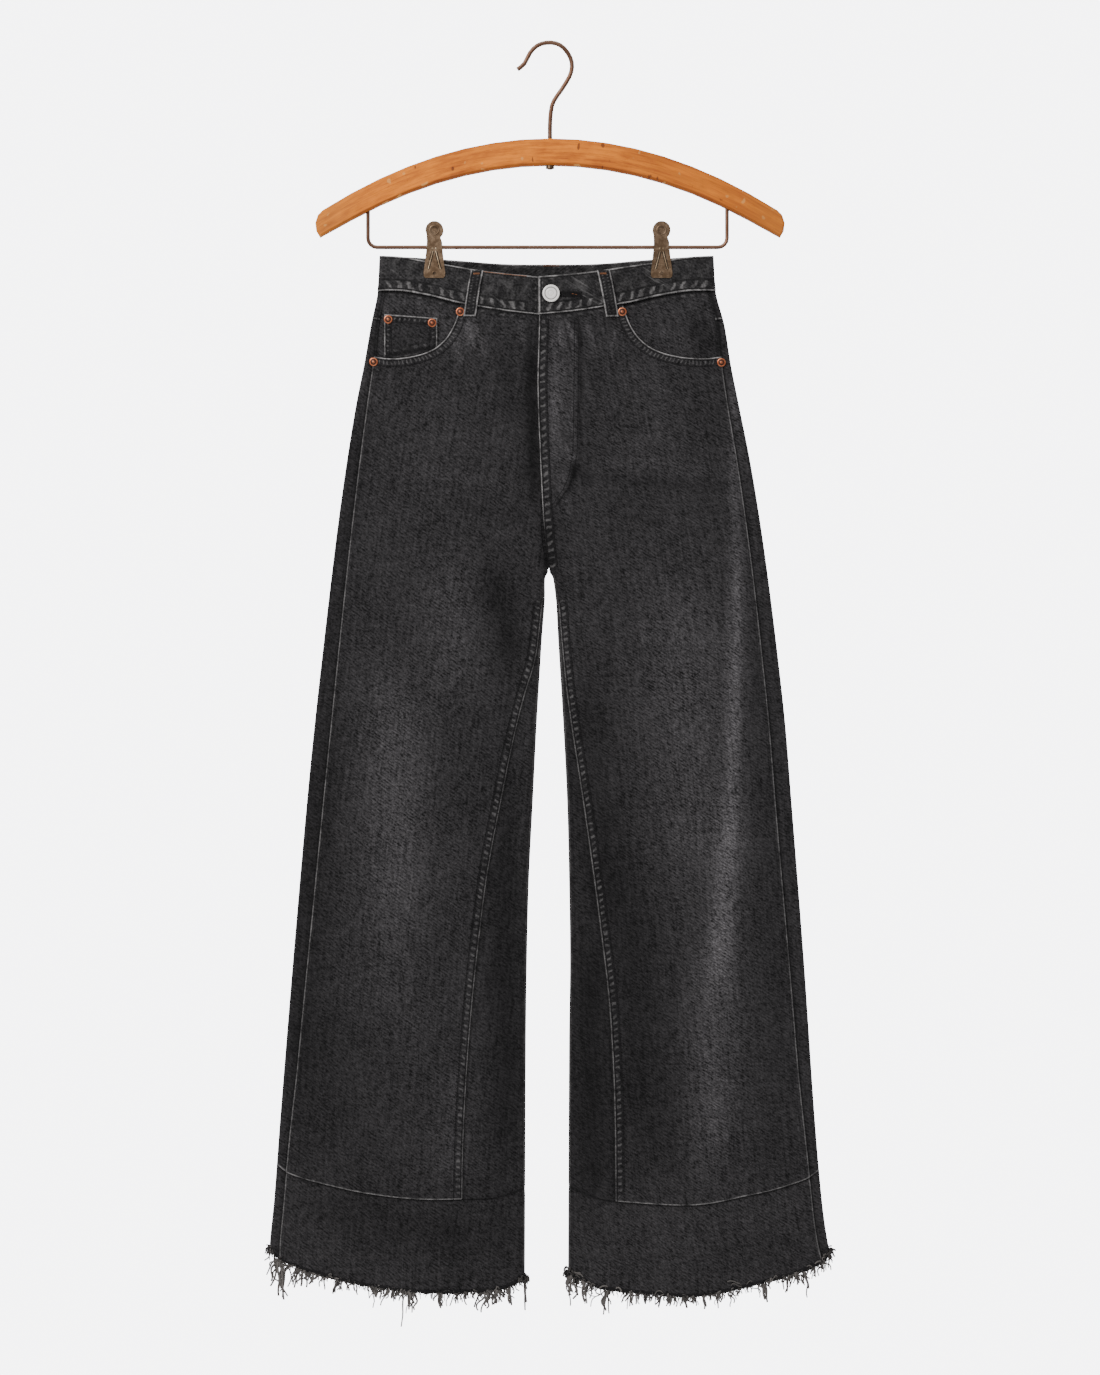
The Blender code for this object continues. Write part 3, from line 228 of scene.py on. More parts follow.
# How far the hem hangs below its outer corner, over each leg's width from 0 to 1.
HEM_SAG = curves(
    (RIGHT, LEFT),
    (0, 0, 0), (0.04, 9, 8), (0.15, 19, 19), (0.3, 28, 28), (0.5, 37, 38), (0.7, 40, 38),
    (0.9, 39, 31), (1, 30, 20),
)
HEM_CORNER = {RIGHT: 995.0, LEFT: 999.0}
BAND_CORNER = {RIGHT: 907.0, LEFT: 913.0}
SAG_GROWTH = 1.5

# Drops of the waistband's edges, from the side edge (0) to the centre (1).
WAIST_DIPS = curves(
    ((FRONT, "top"), (FRONT, "seam"), (BACK, "top"), (BACK, "seam")),
    (0, -1, 34, -1, 34), (0.15, 0.5, 34.5, 0, 35), (0.33, 5.5, 39.5, 2, 37.5),
    (0.5, 10, 46.5, 4, 40), (0.65, 14.5, 51, 5.5, 42), (0.82, 18, 55.5, 6.5, 43.5),
    (1, 20.5, 58.5, 6.5, 44),
)

# Drops of the curved front pocket, from its inner corner (0) to the side seam (1).
POCKET_EDGE = Curve(*zip(
    (0, 50), (0.03, 59), (0.08, 70.5), (0.17, 83), (0.32, 93.5), (0.55, 100), (0.8, 102),
    (1, 100),
))
POCKET_CORNERS = {RIGHT: 89.5, LEFT: 73.0}
POCKET_MIDDLE, POCKET_END = 45.0, 100.0
POCKET_UNDERLAY = 12.0
FACING_SLACK = 1.2
YOKE_SIDE = 62.0
YOKE_MIDDLE = 104.0

# Soft ridges, and troughs where the height is below 0: the reach and drop of the top and of the
# low end, measured from the centreline outwards, then the width and the height.
FOLDS = {
    (LEFT, FRONT): (
        (190, 200, 152, 1010, 24, 5.0), (118, 470, 92, 1010, 28, -4.5),
        (60, 640, 52, 1010, 20, 4.0), (232, 420, 232, 960, 16, -3.0),
        (60, 150, 26, 300, 18, -3.5),
    ),
    (RIGHT, FRONT): (
        (88, 300, 158, 720, 28, 5.5), (160, 600, 122, 1010, 30, 3.5),
        (210, 380, 214, 1000, 20, -4.0), (52, 250, 34, 470, 16, -4.0),
        (100, 620, 78, 1010, 18, -4.0), (22, 60, 24, 300, 14, -3.0),
    ),
    (LEFT, BACK): (
        (150, 330, 170, 1010, 30, 4.0), (95, 420, 80, 1010, 26, -5.0),
        (30, 200, 70, 420, 20, -4.0),
    ),
    (RIGHT, BACK): (
        (165, 320, 140, 1010, 30, 4.0), (110, 450, 85, 1010, 24, -5.0),
        (30, 200, 66, 440, 20, -4.0),
    ),
}
SETTLE_ROUNDS = 4
FOLD_FADE = 0.25
EDGE_FADE = 30.0

# Short soft creases: the x and drop of both ends, the width and the height.
CREASES = {
    FRONT: (
        (-100, 62, -60, 150, 5, 0.9), (-128, 112, -150, 210, 8, -0.8),
        (66, 66, 30, 170, 6, 0.8), (100, 118, 128, 230, 8, -0.8), (24, 96, 62, 140, 5, 0.7),
        (34, 140, 92, 188, 6, 0.8), (30, 176, 100, 236, 7, -0.7), (-20, 120, -70, 176, 7, -0.8),
        (-16, 190, -84, 262, 8, 0.9), (6, 200, 26, 262, 4, 1.0), (14, 262, 66, 330, 8, 0.9),
        (-12, 280, -60, 350, 8, -0.9), (-186, 250, -196, 420, 7, 0.9),
        (196, 240, 206, 400, 7, -0.8), (-84, 380, -66, 520, 9, 0.8),
        (70, 372, 60, 520, 9, -0.9), (150, 520, 118, 640, 8, 0.9),
        (-190, 560, -168, 700, 9, -0.9), (214, 640, 196, 800, 8, 0.8),
        (-60, 700, -70, 820, 7, 0.8), (-230, 760, -212, 930, 8, 0.8),
        (90, 800, 100, 905, 8, -0.8),
    ),
    BACK: (
        (-40, 150, -110, 270, 10, -1.0), (40, 150, 104, 274, 10, -1.0),
        (-20, 280, -96, 330, 7, 1.2), (18, 284, 88, 342, 7, 1.2),
        (-150, 300, -176, 460, 9, 0.9), (160, 300, 150, 470, 9, -0.9),
        (-96, 560, -120, 700, 10, 0.9), (84, 540, 110, 690, 10, 0.9),
        (200, 700, 178, 880, 9, -0.9), (-205, 690, -188, 860, 9, 0.8),
    ),
}

# Broad patches, washed paler by a share of their tone, or darker below 0: the x and drop of
# both ends, the width and the share. The paler ones are wear, and in part painted highlight where
# folds face the light. The darker ones are mostly painted shade, along the turned outer edges,
# round the crotch and the fly, in the pocket openings and down the inner legs.
FADES = {
    FRONT: (
        (-155, 433, -150, 640, 32, 0.75), (-98, 318, -92, 430, 28, 0.45),
        (-150, 640, -144, 770, 32, 0.3), (-98, 813, -96, 915, 18, 0.4),
        (-190, 143, -228, 440, 14, -0.3), (-226, 440, -258, 860, 24, -0.38),
        (-58, 318, -38, 400, 20, -0.35), (-45, 560, -42, 905, 20, -0.3),
        (-205, 760, -212, 905, 42, -0.2), (-250, 950, -30, 980, 32, -0.25),
        (-19, 75, -17, 245, 8, -0.6), (-85, 68, -84, 84, 14, 0.4),
        (-120, 150, -124, 250, 32, 0.06), (-48, 90, -40, 165, 10, -0.25),
        (182, 110, 186, 330, 6, 0.8), (187, 300, 180, 560, 8, 1.45),
        (181, 540, 168, 720, 13, 1.55), (165, 680, 163, 900, 23, 0.8),
        (128, 330, 150, 610, 44, 0.62), (210, 330, 240, 900, 16, -0.12),
        (40, 420, 52, 650, 24, -0.3), (70, 600, 100, 900, 34, -0.35),
        (38, 680, 42, 960, 18, -0.4), (8, 72, 9, 160, 10, 0.65), (4, 120, 5, 210, 5, 0.6),
        (16, 64, 25, 86, 2, 1.6), (20, 62, 24, 88, 8, -0.4), (16, 212, 40, 222, 7, -0.38),
        (24, 68, 22.5, 195, 3.2, 0.38), (30.5, 68, 29, 200, 2.4, -0.45),
        (27.5, 200, 21, 228, 2.6, -0.6), (21, 228, 8, 248, 2.6, -0.6),
        (18, 200, 14, 230, 3.4, 0.55), (12, 232, 18, 262, 3.0, 0.45), (0, 262, 0, 315, 9, -0.5),
        (46, 224, 180, 232, 6, -0.2), (60, 205, 170, 212, 8, 0.18), (34, 176, 96, 190, 5, 0.22),
        (-30, 232, -120, 214, 6, 0.18), (-28, 262, -100, 246, 7, -0.16),
        (60, 975, 250, 955, 34, 0.1), (146, 62, 158, 96, 12, -0.4),
        (90, 120, 120, 200, 40, 0.14), (-84, 66, -76, 92, 2.6, 0.9),
        (-74, 70, -64, 100, 2.4, 0.6), (-96, 84, -88, 108, 2.4, 0.7),
        (-30, 64, -26, 92, 2.4, 0.7), (34, 66, 44, 92, 2.4, 0.8), (12, 66, 10, 92, 2.4, 0.9),
        (66, 72, 60, 104, 2.6, 0.6), (14, 190, 26, 206, 2.6, 1.2),
        (-132, 46, -110, 62, 4.0, 0.5), (-168, 40, -166, 56, 4.0, 0.6),
    ),
    BACK: (
        (-110, 300, -124, 560, 44, 0.5), (96, 300, 122, 560, 44, 0.5),
        (-98, 150, -98, 240, 50, 0.6), (98, 150, 98, 240, 50, 0.6),
        (-150, 600, -158, 880, 30, 0.3), (160, 580, 150, 860, 26, 0.4),
        (-48, 500, -44, 900, 22, -0.3), (40, 500, 44, 900, 22, -0.3),
        (0, 240, 0, 340, 12, -0.4), (-210, 200, -255, 880, 16, -0.25),
        (208, 200, 252, 880, 16, -0.25),
    ),
}
# Half the share of a crease's or a patch's length that it keeps its full strength on.
STROKE_CORE = 0.3


def along_line(x: Array, drop: Array, line: Array) -> tuple[Array, Array]:
    """Measures points against a line of straight stretches.

    Args:
        x: the points' x.
        drop: the points' drops.
        line: the line's corners, as rows of x and drop.

    Returns:
        Each point's distance from the line, and the length along it.
    """
    start, step = line[:-1], np.diff(line, axis=0)
    length = np.maximum(np.linalg.norm(step, axis=1), 1e-6)
    run_before = np.concatenate([[0.0], np.cumsum(length)[:-1]])
    away_x = x.reshape(-1, 1) - start[:, 0]
    away_drop = drop.reshape(-1, 1) - start[:, 1]
    t = np.clip((away_x * step[:, 0] + away_drop * step[:, 1]) / length**2, 0, 1)
    off_x, off_drop = away_x - t * step[:, 0], away_drop - t * step[:, 1]
    distance = np.hypot(off_x, off_drop)
    nearest = distance.argmin(axis=1)
    pick = np.arange(len(nearest)), nearest
    run = run_before[nearest] + t[pick] * length[nearest]
    return distance[pick].reshape(x.shape), run.reshape(x.shape)


class Form:
    """The hanging form that the cloth lies on: the middle of each wall, in millimetres.

    A girth is a length of cloth from the outer fold, below 0 on the front and above 0 on the back.
    """

    STEP = 0.6

    def outer_edge(self, half: int, drop: Number) -> Array:
        """Distance from the centreline to the middle of the cloth at the outer edge."""
        return OUTLINE[half](drop) - DENIM / 2

    def openness(self, drop: Number) -> Array:
        """1 where the halves are one hollow, 0 where they are legs, and an arch between."""
        share = np.clip((drop - SEAT_TOP) / (CROTCH - SEAT_TOP), 0, 1)
        return np.sqrt(1 - share**2)

    def width(self, half: int, face: int, drop: Number) -> Array:
        """Width of one half, from its outer edge to the centre seam or the leg's inner edge."""
        edge = self.outer_edge(half, drop)
        gap = LEG_GAPS[half](CROTCH) + DENIM / 2
        clearance = gap - half * CENTRE_SEAMS[FRONT](CROTCH)
        parted = clearance * smooth((drop - PARTING_TOP) / PARTING_LENGTH)
        seat = edge - half * CENTRE_SEAMS[face](drop) - parted
        return np.where(drop < CROTCH, seat, edge - LEG_GAPS[half](drop) - DENIM / 2)

    def reach_of(self, girth: Number, span: Number) -> Array:
        """Reach of the point that lies this far round the cloth from the outer fold."""
        total = full_girth(span)
        start = FOLD_RADIUS * (1 - np.cos(np.minimum(girth, FOLD_QUARTER) / FOLD_RADIUS))
        left = np.clip(total - girth, 0, FOLD_QUARTER)
        end = span - FOLD_RADIUS * (1 - np.cos(left / FOLD_RADIUS))
        choices = [girth < FOLD_QUARTER, girth > total, girth > total - FOLD_QUARTER]
        values = [start, span + girth - total, end]
        return np.select(choices, values, FOLD_RADIUS + girth - FOLD_QUARTER)

    def girth_of(self, reach: Number, span: Number) -> Array:
        """Length of cloth from the outer fold to the point at this reach."""
        total = full_girth(span)
        start = FOLD_RADIUS * np.arccos(np.clip(1 - np.maximum(reach, 0) / FOLD_RADIUS, -1, 1))
        end = total - FOLD_RADIUS * np.arccos(np.clip(1 - (span - reach) / FOLD_RADIUS, -1, 1))
        choices = [reach < FOLD_RADIUS, reach > span, reach > span - FOLD_RADIUS]
        values = [start, total + reach - span, end]
        return np.select(choices, values, FOLD_QUARTER + reach - FOLD_RADIUS)

    def fold_height(self, half: int, face: int, distance: Array, drop: Array) -> Array:
        """How far the folds lift the cloth at a distance from the centreline."""
        height = np.zeros(np.broadcast(distance, drop).shape)
        for top_reach, top_drop, low_reach, low_drop, width, rise in FOLDS[half, face]:
            share = (drop - top_drop) / (low_drop - top_drop)
            middle = blend(top_reach, low_reach, share)
            bump = rise * np.exp(-(((distance - middle) / width) ** 2))
            height += np.where(share > 0, smooth(share / FOLD_FADE) * bump, 0)
        return height

    def crease_height(self, face: int, x: Array, drop: Array) -> Array:
        """How far the short creases lift the cloth."""
        height = np.zeros(np.broadcast(x, drop).shape)
        for *stroke, rise in CREASES[face]:
            height += rise * stroke_share(stroke, x, drop)
        return height

    def clip_pinch(self, distance: Array, drop: Array) -> Array:
        """1 where a clip holds the front against the back, falling to 0 round it."""
        beside = np.maximum(0.0, np.abs(distance - CLIP_REACH) - GRIP_HALF_WIDTH)
        below = np.clip((drop - GRIP_LOW_DROP) / GRIP_LENGTH, 0, 1)
        return (1 - smooth(beside / GRIP_FADE)) * (1 - below) ** 1.5

    def half_depth(self, half: int, face: int, reach: Array, drop: Array) -> Array:
        """Distance of the cloth from the middle plane of the garment."""
        span = self.width(half, face, drop)
        share = reach / span
        open_part = self.openness(drop)
        seat_length = CROTCH - SEAT_TOP + 2 * LEG_BLEND
        seat_part = 1 - smooth((drop - SEAT_TOP + LEG_BLEND) / seat_length)
        seat_lens = 1 - np.abs(1 - share) ** LENS_POWER
        leg_lens = 1 - np.abs(1 - 2 * share) ** LENS_POWER
        inner = round_fold((span - reach) * FOLD_RADIUS / INNER_ARCH)
        lens = blend(leg_lens, seat_lens, seat_part) * blend(inner, 1, open_part)
        rolled = round_fold(reach) * blend(round_fold(span - reach), 1, open_part)
        distance = self.outer_edge(half, drop) - reach
        found = (OUTLINE["depth"](drop) - FOLD_RADIUS) * lens + FOLD_RADIUS * rolled
        inner_fade = blend(smooth((span - reach) / EDGE_FADE), 1, open_part)
        edge = smooth(reach / EDGE_FADE) * inner_fade
        found = found + edge * self.fold_height(half, face, distance, drop)
        grip = GRIP_DEPTH + GRIP_SLOPE * np.maximum(0.0, drop - GRIP_LOW_DROP)
        found = found + np.minimum(0.0, grip - found) * self.clip_pinch(distance, drop)
        creases = edge * self.crease_height(face, half * distance, drop)
        creases = creases * (1 - self.clip_pinch(distance, drop))
        return np.maximum(found + creases, SEAM_GAP / 2)

    def middle(self, half: Number, around: Number, drop: Number) -> Array:
        """Points in the middle of the cloth.

        Args:
            half: RIGHT or LEFT, for each point or for all.
            around: the points' girths.
            drop: the points' drops.

        Returns:
            The points, in millimetres, with one more axis for x, y and z.
        """
        half, around, drop = np.broadcast_arrays(half, around, drop)
        points = np.empty(around.shape + (3,))
        for side, face, mask in quarters(half, face_of(around)):
            down = drop[mask]
            reach = self.reach_of(np.abs(around[mask]), self.width(side, face, down))
            x = side * (self.outer_edge(side, down) - reach)
            y = face * self.half_depth(side, face, reach, down)
            points[mask] = np.stack([x, y, -WAIST_BELOW_ORIGIN - down], axis=-1)
        return points

    def total(self, half: Number, face: Number, drop: Number) -> Array:
        """Girth from the outer fold to the centre or inner fold of a face."""
        half, face, drop = np.broadcast_arrays(half, face, drop)
        found = np.empty(drop.shape)
        for side, way, mask in quarters(half, face):
            found[mask] = full_girth(self.width(side, way, drop[mask]))
        return found

    def outward(self, half: Number, around: Number, drop: Number) -> Array:
        """Unit vectors that point out of the garment at points of the cloth."""
        most = np.maximum(self.total(half, face_of(around), drop), np.abs(around))
        ahead = np.minimum(around + self.STEP, most)
        behind = np.maximum(around - self.STEP, -most)
        across = self.middle(half, ahead, drop) - self.middle(half, behind, drop)
        low, high = drop + 2 * self.STEP, drop - 2 * self.STEP
        down = self.middle(half, around, low) - self.middle(half, around, high)
        normal = np.cross(across, down) * -np.asarray(half, float)[..., None]
        return normal / np.linalg.norm(normal, axis=-1, keepdims=True)

    def spot(self, x: Array, face: int, drop: Array) -> tuple[Array, Array]:
        """The half and the girth of the points that show at an x on a face."""
        x, drop = np.broadcast_arrays(x, drop)
        half = np.where(x > CENTRE_SEAMS[face](drop), LEFT, RIGHT)
        girth = np.empty(x.shape)
        for side in HALVES:
            mask = half == side
            reach = self.outer_edge(side, drop[mask]) - side * x[mask]
            girth[mask] = self.girth_of(reach, self.width(side, face, drop[mask]))
        return half, face * girth

    def share_across(self, half: int, around: Array, drop: Array) -> Array:
        """Share of the half's width at a girth, from the outer edge (0) to the centre (1)."""
        found = np.empty(np.shape(around))
        for face in FACES:
            mask = face_of(around) == face
            span = self.width(half, face, drop[mask])
            found[mask] = np.minimum(1.0, self.reach_of(np.abs(around[mask]), span) / span)
        return found

    def leg_level(self, half: int, corner: Number, share: Array) -> Array:
        """Drops along a line that hangs from a corner on the outer edge, as the hem does."""
        weight = np.maximum(0, (corner - CROTCH) / (HEM_CORNER[half] - CROTCH)) ** SAG_GROWTH
        return corner + weight * HEM_SAG[half](share)

    def settle(
        self, half: int, level: Callable, girths: Callable, rows: int, share: Array
    ) -> tuple[Array, Array]:
        """Finds points whose drop depends on their place across, and the reverse.

        Args:
            half: RIGHT or LEFT.
            level: drops at shares of the width.
            girths: girths at the columns' shares and drops.
            rows: how many rows the grid has.
            share: the columns' shares.

        Returns:
            The points' girths and drops.
        """
        shape = (rows, len(share))
        columns = np.broadcast_to(share, shape)
        drop = np.broadcast_to(level(np.full(shape, 0.5)), shape)
        for _ in range(SETTLE_ROUNDS):
            drop = level(self.share_across(half, girths(columns, drop), drop))
        return girths(columns, drop), drop

    def side_seam(self, half: int, drop: Number, margin: float) -> Array:
        """Girth from the outer fold to the side seam, less a margin towards the fold."""
        return self.girth_of(SIDE_INSET(drop) - margin, self.width(half, FRONT, drop))

    def inner_limit(self, half: int, face: int, drop: Number) -> Array:
        """Girth at which a leg panel ends: the centre seam, the inner fold or the gusset."""
        span = self.width(half, face, drop)
        near = np.exp(-(((drop - CROTCH) / CROTCH_BLEND) ** 2))
        clear = SEAM_GAP / 2 + CROTCH_SLACK * near
        seat = np.where(
            drop < CROTCH, self.girth_of(span - clear, span), full_girth(span) - clear
        )
        wedge = self.girth_of(span - GUSSETS[half](drop) - SEAM_GAP / 2, span)
        return np.where(drop < GUSSET_TOP - 1, seat, wedge)

    def gusset_start(self, half: int, face: int, drop: Number) -> Array:
        """Girth at which the gusset begins, from the outer fold."""
        span = self.width(half, face, drop)
        return self.girth_of(span - GUSSETS[half](drop) + SEAM_GAP / 2, span)

    def pocket_drop(self, half: int, distance: Array, drop_at_waist: Array) -> Array:
        """Drop of a front panel's upper edge: the pocket's curve, or the waistband seam."""
        corner = POCKET_CORNERS[half]
        side = self.outer_edge(half, POCKET_END) - SIDE_INSET(POCKET_END)
        curve = np.maximum(drop_at_waist, POCKET_EDGE((distance - corner) / (side - corner)))
        return np.where(distance < corner, drop_at_waist, curve)


def face_of(around: Number) -> Array:
    """The face on which points at these girths lie."""
    return np.where(around < 0, FRONT, BACK)


def quarters(half: Array, face: Array) -> Iterable[tuple[int, int, Array]]:
    """Goes through the garment's quarters.

    Args:
        half: each point's half.
        face: each point's face.

    Yields:
        A half, a face, and which points lie there, where there are any.
    """
    for side in HALVES:
        for way in FACES:
            mask = (half == side) & (face == way)
            if mask.any():
                yield side, way, mask


def full_girth(span: Number) -> Array:
    """Length of cloth across a half of this width, round the fold at each end."""
    return span - 2 * FOLD_RADIUS + 2 * FOLD_QUARTER


def round_fold(reach: Number) -> Array:
    """Profile of a folded edge, from 0 at the fold to 1 where it is over."""
    return np.sqrt(np.maximum(0.0, 1 - (1 - np.clip(reach / FOLD_RADIUS, 0, 1)) ** 2))


def stroke_share(stroke: Sequence[float], x: Array, drop: Array) -> Array:
    """1 along the middle of a crease or a patch, falling to 0 round it."""
    start_x, start_drop, end_x, end_drop, width = stroke
    along = np.array([end_x - start_x, end_drop - start_drop])
    length = np.linalg.norm(along)
    away_x, away_drop = x - start_x, drop - start_drop
    t = (away_x * along[0] + away_drop * along[1]) / length**2
    beside = (away_x * along[1] - away_drop * along[0]) / length
    beyond = np.maximum(0, np.abs(t - 0.5) - STROKE_CORE) * length
    beyond = beyond / (STROKE_CORE * length + width)
    return np.exp(-((beside / width) ** 2) - beyond**2 * 3)


FORM = Form()


@dataclass(frozen=True)
class SeamLook:
    """Where a seam runs, and how its worn edge and the puckered band beside it look on a piece."""

    path: str
    edge: float = 0.0
    ladder: float = 0.0
    band: float = 8.0
    pitch: float = 7.0
    ridge: float = 0.0
    # How far the piece sinks beside the seam; above 0 it also gets a painted shadow there.
    under: float = 0.0
    rows: tuple[float, ...] = ()


UNDER_WIDTH = 6.0
RIDGE_EXTRA = 4.0


class SeamKind(Enum):
    """The seams and worn edges: "over" pieces show their edge, "under" ones sink and get a painted
    shadow along the seam.
    """

    POCKET = SeamLook("pocket", 0.95, 0.55, 8.5, 3.8, 0.5, rows=(2.2, 8.4))
    WAIST_LOW = SeamLook("waist_seam", 0.85, 0.85, 12.0, 10.5, 0.4, rows=(2.0,))
    WAIST_TOP = SeamLook("waist_top", 0.80, 0.20, 6.0, 9.0, 0.2, rows=(2.0,))
    WAIST_UNDER = SeamLook("waist_seam", 0.0, 0.30, 7.0, 10.5, 0.0, 1.2)
    FLY = SeamLook("centre", 0.82, 0.70, 9.5, 7.6, 0.6, rows=(1.8, 9.6))
    TAB = SeamLook("", 0.85, 0.45, 6.0, 6.0, 0.3, rows=(2.2,))
    INSEAM = SeamLook("inseam", 0.40, 0.62, 8.5, 6.4, 0.6, rows=(1.8, 8.8))
    SIDE = SeamLook("side", 0.42, 0.22, 5.0, 8.0, 0.4)
    SIDE_UNDER = SeamLook("side", 0.0, 0.18, 4.5, 9.0, 0.0, 1.0)
    HEM_BAND = SeamLook("band", 0.60, 0.12, 5.0, 11.0, 0.4)
    BAND_UNDER = SeamLook("band", under=1.0)
    GUSSET_UNDER = SeamLook("inseam", 0.16, under=1.2)
    INNER_FOLD = SeamLook("inner_fold", 0.16, 0.30, 4.5, 6.5)
    YOKE = SeamLook("yoke", 0.60, 0.60, 9.0, 7.5, 0.5, rows=(2.0, 9.0))
    YOKE_UNDER = SeamLook("yoke", under=1.0)
    SEAT = SeamLook("centre", 0.60, 0.60, 9.0, 7.5, 0.6, rows=(2.0, 9.0))
    SEAT_UNDER = SeamLook("centre", under=1.0)
    PATCH = SeamLook("", 0.80, 0.60, 7.0, 5.2, 0.3, rows=(2.0, 7.4))
    LOOP = SeamLook("", 0.85, 0.50, 6.5, 3.2, rows=(2.2,))
    HEM_RAW = SeamLook("hem")


class SeamLine:
    """A seam's line on one face."""

    REACH = 20.0
    END_FADE = 14.0
    ROUNDING = 1.4
    NEAREST = 40

    def __init__(self, kind: SeamKind, face: int, line: Array) -> None:
        """Takes the seam's kind, the face it lies on, and its corners as rows of x and drop."""
        self.look, self.face = kind.value, face
        self.line = np.asarray(line, float)
        self.length = float(np.linalg.norm(np.diff(self.line, axis=0), axis=1).sum())

    def near(self, x: Array, drop: Array, face: Array) -> Array:
        """Which points are on the seam's face and close to it."""
        low, high = self.line.min(axis=0) - self.REACH, self.line.max(axis=0) + self.REACH
        inside = (x > low[0]) & (x < high[0]) & (drop > low[1]) & (drop < high[1])
        return inside & (face == self.face)

    def relief(self, distance: Array, run: Array) -> Array:
        """How far the seam raises points of the cloth, in millimetres."""
        look = self.look
        ends = smooth(np.minimum(run, self.length - run) / self.END_FADE + 0.1)
        rise = self.ROUNDING - distance / (look.band + RIDGE_EXTRA) * self.ROUNDING
        rise = smooth(rise) * look.ridge * ends
        return rise - look.under * (1 - smooth(distance / UNDER_WIDTH))

    def beside(self, offset: float, inside: Array) -> Array:
        """The seam's line moved sideways, towards the nearest of the given points."""
        length = np.linalg.norm(np.diff(self.line, axis=0), axis=1)
        line = self.line[np.concatenate([[True], length > 1e-3])]
        step = np.diff(line, axis=0)
        across = np.stack([-step[:, 1], step[:, 0]], axis=-1)
        across /= np.linalg.norm(step, axis=1, keepdims=True)
        first, last = np.vstack([across[:1], across]), np.vstack([across, across[-1:]])
        share = 1 + (first * last).sum(axis=1, keepdims=True)
        middle = line[len(line) // 2] * 0.5 + line[(len(line) - 1) // 2] * 0.5
        order = np.argsort(np.linalg.norm(inside - middle, axis=1))
        close = inside[order[: self.NEAREST]].mean(axis=0)
        way = np.sign(((close - middle) * across[(len(line) - 1) // 2]).sum())
        return line + (first + last) / np.maximum(share, 0.3) * offset * way


class SeamMap:
    """Where the seams run on a half and a face of the form, as rows of x and drop."""

    STEP = 6.0
    SIDE_TOP, SIDE_SHARE = 33.0, 0.04
    FOLD_START, FOLD_BELOW, FOLD_INSIDE = 4.0, 12.0, 0.5

    def seams(self, half: int, *kinds: tuple[SeamKind, int]) -> list[SeamLine]:
        """The seams of the given kinds and faces on one half."""
        return [
            SeamLine(kind, face, getattr(self, kind.value.path)(half, face))
            for kind, face in kinds
        ]

    def levels(self, top: float, low: float) -> Array:
        """Drops between two levels, close together."""
        return np.linspace(top, low, max(3, int((low - top) / self.STEP)))

    def down(self, distance: Array, drop: Array, half: int) -> Array:
        """A line down the cloth at distances from the centreline."""
        return np.stack([half * distance, drop], axis=-1)

    def across(self, half: int, face: int, level: Callable) -> Array:
        """A line whose drop is a function of the share of the half's width."""
        shares = np.linspace(0, 1, 41)
        drop = level(shares)
        reach = shares * FORM.width(half, face, drop)
        return self.down(FORM.outer_edge(half, drop) - reach, drop, half)

    def waist_top(self, half: int, face: int) -> Array:
        """The waistband's top."""
        return self.across(half, face, WAIST_DIPS[face, "top"])

    def waist_seam(self, half: int, face: int) -> Array:
        """The waistband's seam."""
        return self.across(half, face, WAIST_DIPS[face, "seam"])

    def band(self, half: int, face: int) -> Array:
        """The seam above the hem band."""
        return self.across(half, face, lambda s: FORM.leg_level(half, BAND_CORNER[half], s))

    def hem(self, half: int, face: int) -> Array:
        """The raw lower edge."""
        corner = HEM_CORNER[half] - FRAYED_EDGE
        return self.across(half, face, lambda s: FORM.leg_level(half, corner, s))

    def yoke(self, half: int, face: int) -> Array:
        """The yoke's seam, of which only the start shows on the front."""
        if face == FRONT:
            edge = FORM.outer_edge(half, YOKE_SIDE)
            return np.array([[half * edge, YOKE_SIDE], [half * (edge - 9), YOKE_SIDE + 0.6]])
        return self.across(half, face, lambda s: blend(YOKE_SIDE, YOKE_MIDDLE, s))

    def side(self, half: int, _: int) -> Array:
        """The side seam, on the front."""
        low = FORM.leg_level(half, HEM_CORNER[half] - FRAYED_EDGE, self.SIDE_SHARE)
        drop = self.levels(self.SIDE_TOP, low)
        return self.down(FORM.outer_edge(half, drop) - SIDE_INSET(drop), drop, half)

    def inseam(self, half: int, face: int) -> Array:
        """The seam between a leg and its gusset."""
        corner = BAND_CORNER[half]
        share = 1 - GUSSETS[half](corner) / FORM.width(half, face, corner)
        drop = self.levels(GUSSET_TOP, FORM.leg_level(half, corner, share))
        span, edge = FORM.width(half, face, drop), FORM.outer_edge(half, drop)
        return self.down(edge - span + GUSSETS[half](drop), drop, half)

    def inner_fold(self, half: int, _: int) -> Array:
        """The inner edge of a leg."""
        drop = self.levels(CROTCH + self.FOLD_START, HEM_CORNER[half] + self.FOLD_BELOW)
        return self.down(LEG_GAPS[half](drop) + DENIM / 2 + self.FOLD_INSIDE, drop, half)

    def centre(self, _: int, face: int) -> Array:
        """The fly's edge at the front, or the seat seam at the back."""
        drop = self.levels(float(WAIST_DIPS[face, "seam"](1.0)), CROTCH - 1)
        return np.stack([CENTRE_SEAMS[face](drop), drop], axis=-1)

    def pocket(self, half: int, face: int) -> Array:
        """The edge of a front pocket."""
        side = FORM.outer_edge(half, POCKET_END) - SIDE_INSET(POCKET_END)
        span = np.linspace(0, 1, 60) ** 1.5
        distance = blend(POCKET_CORNERS[half] + 0.1, side, span)
        level = POCKET_MIDDLE
        reach = (FORM.outer_edge(half, level) - distance) / FORM.width(half, face, level)
        seam = WAIST_DIPS[face, "seam"](reach)
        return self.down(distance, FORM.pocket_drop(half, distance, seam), half)


SEAMS = SeamMap()


